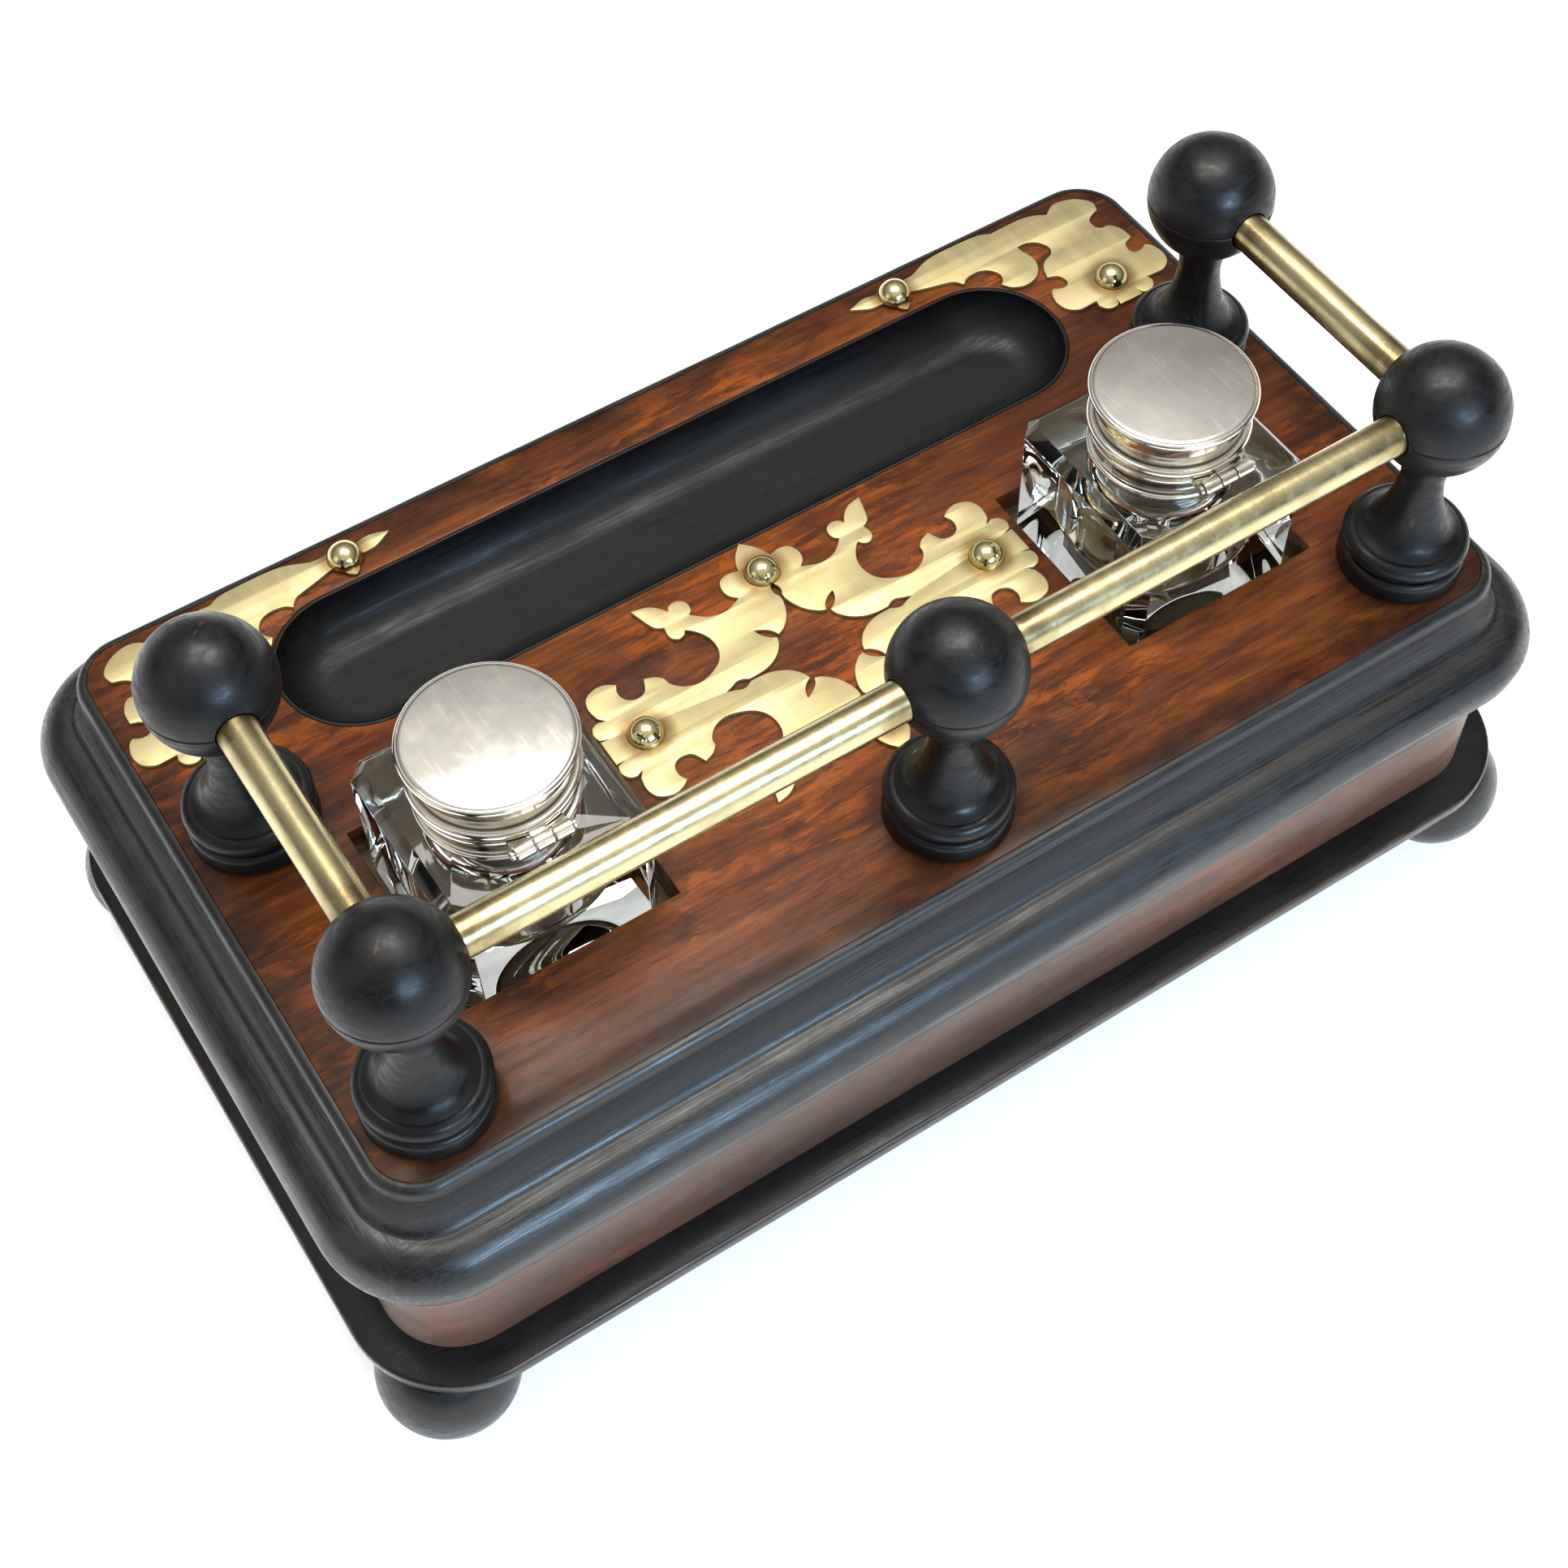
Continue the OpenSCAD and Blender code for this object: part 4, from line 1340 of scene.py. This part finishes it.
@dataclass
class Strapwork:
    """Cut brass mounts and their domed studs. Sizes in millimetres."""

    body: str = "stand"
    top: float = 95
    thick: float = 1
    ease: float = 0.16
    stud: float = 4.2
    stud_h: float = 3.6
    shank: float = 1
    shank_h: float = 4.9
    stud_hole: float = 6
    centre: tuple[Point, ...] = ((-45.1, 9.8), (42.7, 9.8), (-1.2, -13.7), (-1.2, 33.3))
    corner: tuple[Point, ...] = ((120.4, -44.3), (73.9, -68.6))

    def build(self) -> None:
        """Cut the mounts and set the studs."""
        mirrored = tuple((-x, y) for x, y in self.corner)
        # the spots are the studs, round which shade is painted on the sheet
        sheet = AgedBrass("mount_brass", clean="#ccbe90", tarnished=0.3, rough=(0.48, 0.6), relief=0.004,
                          spots=self.centre + self.corner + mirrored).material()
        for node in ("centre_mount", "corner_mount_left", "corner_mount_right"):
            lines = [line for line in MeshCraft.top_outlines(node) if self._size(line) > self.stud_hole]
            piece = MeshCraft.plate(f"cut_{node}", lines, self.top, self.top + self.thick, self.ease)
            show(piece, node, self.body, sheet)
        dome = AgedBrass("stud_brass", clean="#e0cf9a", tarnish="#7d6030", tarnished=0.35, rough=(0.12, 0.22),
                         relief=0.008).material()
        groups = {"centre_studs": self.centre, "corner_studs_right": self.corner,
                  "corner_studs_left": mirrored}
        for node, places in groups.items():
            mesh = bmesh.new()
            for k, (x, y) in enumerate(places):
                spot = Matrix.Translation((x, y, self.top + self.thick))
                MeshCraft.turned(mesh, self._dome(), spot, 56, 0.03, 40 + k)
            show(MeshCraft.settle(mesh, f"domed_{node}", 40), node, self.body, dome)

    def _dome(self) -> list[Point]:
        """Profile of a stud's dome and shank.

        Returns:
            Radius and height of each point.
        """
        r = (self.stud ** 2 + self.stud_h ** 2) / (2 * self.stud_h)
        start = math.degrees(math.asin((self.stud_h - r) / r)) * -1
        return ([(0, -self.shank_h), (self.shank, -self.shank_h), (self.shank, 0)]
                + MeshCraft.arc((0, self.stud_h - r), r, start, 88, 18) + [(0, self.stud_h)])

    @staticmethod
    def _size(line: list[Point]) -> float:
        """Length of an outline's box along X."""
        return max(x for x, _ in line) - min(x for x, _ in line)


@dataclass
class InkBottle:
    """Square glass bottle with its silver collar, hinge and lid. Sizes in millimetres."""

    side: Side
    x: float = 81.9
    y: float = 21.7
    shoulder: float = 121.6
    neck: float = 13.5
    mouth: float = 9
    collar_h: float = 7
    lid: float = 18
    lid_h: float = 11.8
    hinge_y: float = 19.6
    hinge_len: float = 12.4
    knuckle: float = 1.7
    knuckle_ease: float = 0.2
    pin: float = 0.7
    pin_play: float = 0.05
    pin_head: float = 1.1
    lid_gap: float = 0.15
    edge: float = 0.18
    collar_bead: float = 0.8
    collar_waist: float = 1.4
    lid_bead: float = 1.2
    lid_rim: float = 0.9
    lid_waist: float = 1.6
    lid_wall: float = 1.4
    crown: float = 2.2
    dome: float = 0.8
    dome_in: float = 1.1
    cement_in: float = 2.6
    cement_out: float = 1.7
    cement_h: float = 0.55

    @property
    def hinge_z(self) -> float:
        """Height of the hinge pin."""
        return self.shoulder + self.collar_h + self.lid_gap

    @property
    def bottle_body(self) -> str:
        """Body that the glass, the collar and the pin ride on."""
        return f"ink_bottle_{self.side.word}"

    @property
    def lid_body(self) -> str:
        """Body that the lid rides on."""
        return f"cover_{self.side.word}"

    def build(self, glass: bpy.types.Material, silver: bpy.types.Material,
              cement: bpy.types.Material) -> None:
        """Build and dress the bottle.

        Args:
            glass: Material of the bottle.
            silver: Material of the collar, the lid and the hinge.
            cement: Material of the ring under the collar.
        """
        word = self.side.word
        body = MeshCraft.softened(f"bottle_{word}", f"glass_bottle_{word}", self.edge)
        show(body, f"bottle_{word}", self.bottle_body, glass)
        show(self._collar(), f"collar_{word}", self.bottle_body, silver)
        show(self._lid(), f"lid_{word}", self.lid_body, silver)
        show(self._pin(), f"hinge_pin_{word}", self.bottle_body, silver)
        self._cement(cement)

    def _spot(self, z: float) -> Matrix:
        """Place on the bottle's axis at a height."""
        return Matrix.Translation((self.side.value * self.x, self.y, z))

    def _barrel(self, mesh: bmesh.types.BMesh, start: float, end: float, root: float, above: bool) -> None:
        """One knuckle with the arm that carries it.

        Args:
            mesh: Mesh to add to.
            start: Start of the knuckle along X from the bottle's axis.
            end: End of the knuckle along X.
            root: Distance of the arm's root from the bottle's axis.
            above: Whether the arm runs above the pin's middle, or else below it.
        """
        spot, slit, ease = self._spot(self.hinge_z), self.lid_gap, self.knuckle_ease
        lie = spot @ Matrix.Translation((start, self.hinge_y, 0)) @ LAID_ALONG_X
        long = end - start
        r, hole = self.knuckle, self.pin + self.pin_play
        MeshCraft.tube_solid(mesh, [(hole, 0), (r - ease, 0), (r, ease), (r, long - ease), (r - ease, long),
                                    (hole, long)], lie, 32)
        low, high = (slit, r) if above else (-r, -slit)
        outer = self.hinge_y - hole
        corners = [spot @ Vector((px, py, pz)) for px in (start + ease / 2, end - ease / 2)
                   for py, pz in ((root, low), (outer, low), (outer, high), (root, high))]
        verts = [mesh.verts.new(c) for c in corners]
        for quad in ((0, 1, 2, 3), (7, 6, 5, 4), (0, 4, 5, 1), (1, 5, 6, 2), (2, 6, 7, 3), (3, 7, 4, 0)):
            mesh.faces.new([verts[q] for q in quad])

    def _collar(self) -> bpy.types.Object:
        """The turned collar with the two outer knuckles.

        Returns:
            The new object.
        """
        r, h, bead, craft = self.lid - 1, self.collar_h, self.collar_bead, MeshCraft
        waist = r - self.collar_waist
        inner = self.neck + self.pin_play
        profile = ([(inner, 0), (r - bead, 0)] + craft.arc((r - bead, bead), bead, -60, 90, 10)
                   + [(waist + 0.2, 2 * bead + 0.1), (waist, 2 * bead + 0.3), (waist, h - 2 * bead - 0.4)]
                   + craft.arc((r - bead, h - bead - 0.3), bead, -90, 45, 10)
                   + [(r - bead, h - 0.02), (self.mouth + 1.1, h - 0.02), (self.mouth + 0.8, h - 0.3),
                      (self.mouth + 0.8, h - 1), (inner, h - 1)])
        mesh = bmesh.new()
        craft.tube_solid(mesh, profile, self._spot(self.shoulder), 112)
        gap = self.hinge_len / 6 + self.lid_gap
        for start, end in ((gap, self.hinge_len / 2), (-self.hinge_len / 2, -gap)):
            self._barrel(mesh, start, end, r - 1.8, above=False)
        return craft.settle(mesh, f"silver_collar_{self.side.word}", 38)

    def _lid(self) -> bpy.types.Object:
        """The turned lid with the middle knuckle.

        Returns:
            The new object.
        """
        r, h, craft = self.lid, self.lid_h, MeshCraft
        bead, rim, waist = self.lid_bead, self.lid_rim, r - self.lid_waist
        bore = waist - self.lid_wall
        flank = h - 2 * rim - 0.1
        dome, edge, steps = self.dome, r - self.dome_in, 24
        crown = [(edge * (1 - i / steps), h - dome * (1 - i / steps) ** 2) for i in range(steps + 1)]
        profile = ([(bore, 0), (r - 2 * bead / 3, 0)]
                   + craft.arc((r - bead - 0.4, bead), bead, -40, 90, 12)
                   + craft.hollow((r - bead - rim, 2 * bead), (waist, h / 2), 6)
                   + [(waist, flank - 2), (r - rim - 0.2, flank - rim)]
                   + craft.arc((r - rim, flank), rim, -80, 78, 14)
                   + [(edge + 0.25, h - dome - 0.22)] + crown)
        under = h - self.crown
        inside = [(0, under), (bore - 0.4, under), (bore, under - 0.4), (bore, 0)]
        mesh = bmesh.new()
        craft.turned(mesh, profile + inside, self._spot(self.hinge_z + self.lid_gap), 128)
        gap = self.hinge_len / 6 - self.lid_gap
        self._barrel(mesh, -gap, gap, bore + 0.6, above=True)
        return craft.settle(mesh, f"silver_lid_{self.side.word}", 38)

    def _pin(self) -> bpy.types.Object:
        """The hinge pin with its two heads.

        Returns:
            The new object.
        """
        half, head, ease = self.hinge_len / 2, self.pin_head, self.knuckle_ease
        end = [(self.pin, half + 0.3), (head, half + 0.3), (head, half + 0.7), (head - ease, half + 0.9),
               (0, half + 0.9)]
        profile = [(r, -z) for r, z in reversed(end)] + end
        lie = self._spot(self.hinge_z) @ Matrix.Translation((0, self.hinge_y, 0)) @ LAID_ALONG_X
        return MeshCraft.lathe(f"silver_pin_{self.side.word}", profile, lie, 24)

    def _cement(self, cement: bpy.types.Material) -> None:
        """An uneven ring of cement where the collar meets the shoulder.

        Args:
            cement: Its material.
        """
        dice = random.Random(self.side.value + 5)
        low, high = self.shoulder + 0.02, self.shoulder + self.cement_h
        inner, ease, count = self.lid - self.cement_in, 0.25, 90
        spot = self._spot(0)
        mesh = bmesh.new()
        rows = []
        for i in range(count):
            a = math.tau * i / count
            out = self.lid - self.cement_out + dice.uniform(-0.5, 0.45)
            rows.append([mesh.verts.new(spot @ Vector((q * math.cos(a), q * math.sin(a), z)))
                         for q, z in ((inner, low), (out, low), (out - ease, high - ease), (inner, high))])
        for i in range(count):
            here, there = rows[i], rows[(i + 1) % count]
            for k in range(4):
                mesh.faces.new((here[k], there[k], there[(k + 1) % 4], here[(k + 1) % 4]))
        piece = MeshCraft.settle(mesh, f"collar_cement_{self.side.word}", 50)
        piece.data.materials.append(cement)
        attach(piece, self.bottle_body)
        LOG.info("made %s", piece.name)


# ---------------------------------------------------------------- studio


@dataclass
class Lamp:
    """One soft rectangular lamp. Place and size in metres."""

    name: str
    place: Triple
    aim: Triple
    size: Point
    watts: float
    colour: Colour = (1, 1, 1)

    def hang(self) -> None:
        """Add the lamp to the scene."""
        data = bpy.data.lights.new(self.name, "AREA")
        data.shape = "RECTANGLE"
        data.size, data.size_y = self.size
        data.energy = self.watts
        data.color = self.colour
        made = bpy.data.objects.new(self.name, data)
        bpy.context.scene.collection.objects.link(made)
        made.location = self.place
        made.rotation_mode = "QUATERNION"
        made.rotation_quaternion = (Vector(self.aim) - Vector(self.place)).to_track_quat("-Z", "Y")


@dataclass
class Studio:
    """Pale floor, soft light and camera."""

    camera_at: Triple = (0.17488, 0.28151, 0.51625)
    right: Triple = (-0.84091, 0.54094, -0.01616)
    down: Triple = (0.45449, 0.68967, -0.56373)
    ahead: Triple = (-0.2938, -0.48139, -0.8258)
    lens: float = 56.27
    floor_half: float = 6
    floor_tones: tuple[Colour, Colour] = ((0.82, 0.815, 0.8), (0.84, 0.835, 0.82))
    floor_glow: float = 0.6
    world_light: float = 0.8
    patches: float = 2.2
    patch_light: Point = (0.7, 1.3)
    through_light: float = 0.9
    horizon: Point = (0.08, 0.2)
    sky: tuple[Point, ...] = ((0, 0.12), (0.35, 0.2), (0.6, 0.4), (0.82, 0.8), (1, 1))
    sky_tint: Colour = (1, 0.985, 0.955)

    def build(self) -> None:
        """Set up everything that isn't the object."""
        self._camera()
        self._floor()
        self._world()
        for lamp in (
            Lamp("overhead", (-0.08, -0.12, 1.15), (0, 0, 0.08), (0.8, 0.5), 12, (1, 0.965, 0.9)),
            Lamp("window", (-0.06, 1.3, 0.85), (0.05, 0.05, 0.08), (0.7, 0.4), 18, (0.5, 0.74, 1)),
            Lamp("fill", (1.1, -0.1, 0.7), (0, 0, 0.08), (0.6, 0.6), 0.9, (1, 0.97, 0.92)),
        ):
            lamp.hang()
        bpy.context.scene.view_settings.view_transform = "Standard"

    def _camera(self) -> None:
        """The camera at its solved place."""
        data = bpy.data.cameras.new("camera")
        data.lens = self.lens
        data.sensor_width = 36
        data.clip_start, data.clip_end = 0.01, 20
        made = bpy.data.objects.new("camera", data)
        bpy.context.scene.collection.objects.link(made)
        columns = (Vector(self.right), -Vector(self.down), -Vector(self.ahead))
        turn = Matrix([[c[i] for c in columns] for i in range(3)]).to_4x4()
        made.matrix_world = Matrix.Translation(self.camera_at) @ turn
        bpy.context.scene.camera = made

    def _floor(self) -> None:
        """A wide pale floor that shows as white and keeps the object's shadow."""
        mesh = bmesh.new()
        bmesh.ops.create_grid(mesh, x_segments=4, y_segments=4, size=self.floor_half)
        data = bpy.data.meshes.new("floor")
        mesh.to_mesh(data)
        mesh.free()
        floor = bpy.data.objects.new("floor", data)
        bpy.context.scene.collection.objects.link(floor)
        sheet = NodeSheet("pale_floor")
        cloth = sheet.add("ShaderNodeBsdfDiffuse")
        sheet.feed(cloth.inputs["Color"], sheet.mix(sheet.noise(sheet.even(30), 4), *self.floor_tones))
        rays = sheet.add("ShaderNodeLightPath").outputs
        mirrored = sheet.math("MAXIMUM", rays["Is Glossy Ray"], rays["Is Transmission Ray"])
        seen = sheet.math("MAXIMUM", rays["Is Camera Ray"], mirrored)
        glow = sheet.add("ShaderNodeEmission")
        sheet.feed(glow.inputs["Strength"], sheet.math("MULTIPLY", seen, self.floor_glow))
        both = sheet.add("ShaderNodeAddShader")
        sheet.feed(both.inputs[0], cloth.outputs[0])
        sheet.feed(both.inputs[1], glow.outputs[0])
        sheet.feed(sheet.output.inputs["Surface"], both.outputs[0])
        data.materials.append(sheet.material)

    def _world(self) -> None:
        """A surround that is bright overhead, darker toward the walls and white where it is seen."""
        world = bpy.data.worlds.new("surround")
        bpy.context.scene.world = world
        world.use_nodes = True
        sky = Nodes(world.node_tree)
        way = sky.add("ShaderNodeTexCoord").outputs["Generated"]
        height = sky.axes(way)[2]
        rays = sky.add("ShaderNodeLightPath").outputs
        stops = [(place, tuple(light * part for part in self.sky_tint)) for place, light in self.sky]
        through = sky.mix(rays["Is Transmission Ray"], sky.ramp(height, stops, "EASE"),
                          (self.through_light,) * 3, "LIGHTEN")
        faint, strong = (self.world_light * part for part in self.patch_light)
        patches = sky.span(sky.noise(way, 2, scale=self.patches), 0.3, 0.7, faint, strong, "LINEAR")
        back, white = sky.add("ShaderNodeBackground"), sky.add("ShaderNodeBackground")
        sky.feed(back.inputs["Color"], through)
        sky.feed(back.inputs["Strength"], patches)
        sky.feed(white.inputs["Color"], (1.0, 1.0, 1.0))
        mirrored = sky.math("MAXIMUM", rays["Is Glossy Ray"], rays["Is Transmission Ray"])
        low = sky.math("MULTIPLY", mirrored, sky.span(height, *self.horizon, 1, 0, "LINEAR"))
        either = sky.add("ShaderNodeMixShader")
        sky.feed(either.inputs[0], sky.math("MAXIMUM", rays["Is Camera Ray"], low))
        sky.feed(either.inputs[1], back.outputs[0])
        sky.feed(either.inputs[2], white.outputs[0])
        sky.feed(sky.add("ShaderNodeOutputWorld").inputs["Surface"], either.outputs[0])


def main() -> None:
    """Build the stand piece by piece, then the studio round it."""
    logging.basicConfig(level=logging.INFO, format="%(message)s")
    Case().build()
    PenTray().build()
    BallFeet().build()
    GALLERY.build()
    Strapwork().build()
    glass = CutGlass("bottle_glass").material()
    silver = WornSilver("lid_silver").material()
    cement = OldCement("collar_cement").material()
    for side in Side:
        InkBottle(side).build(glass, silver, cement)
    Studio().build()


if __name__ == "__main__":
    main()
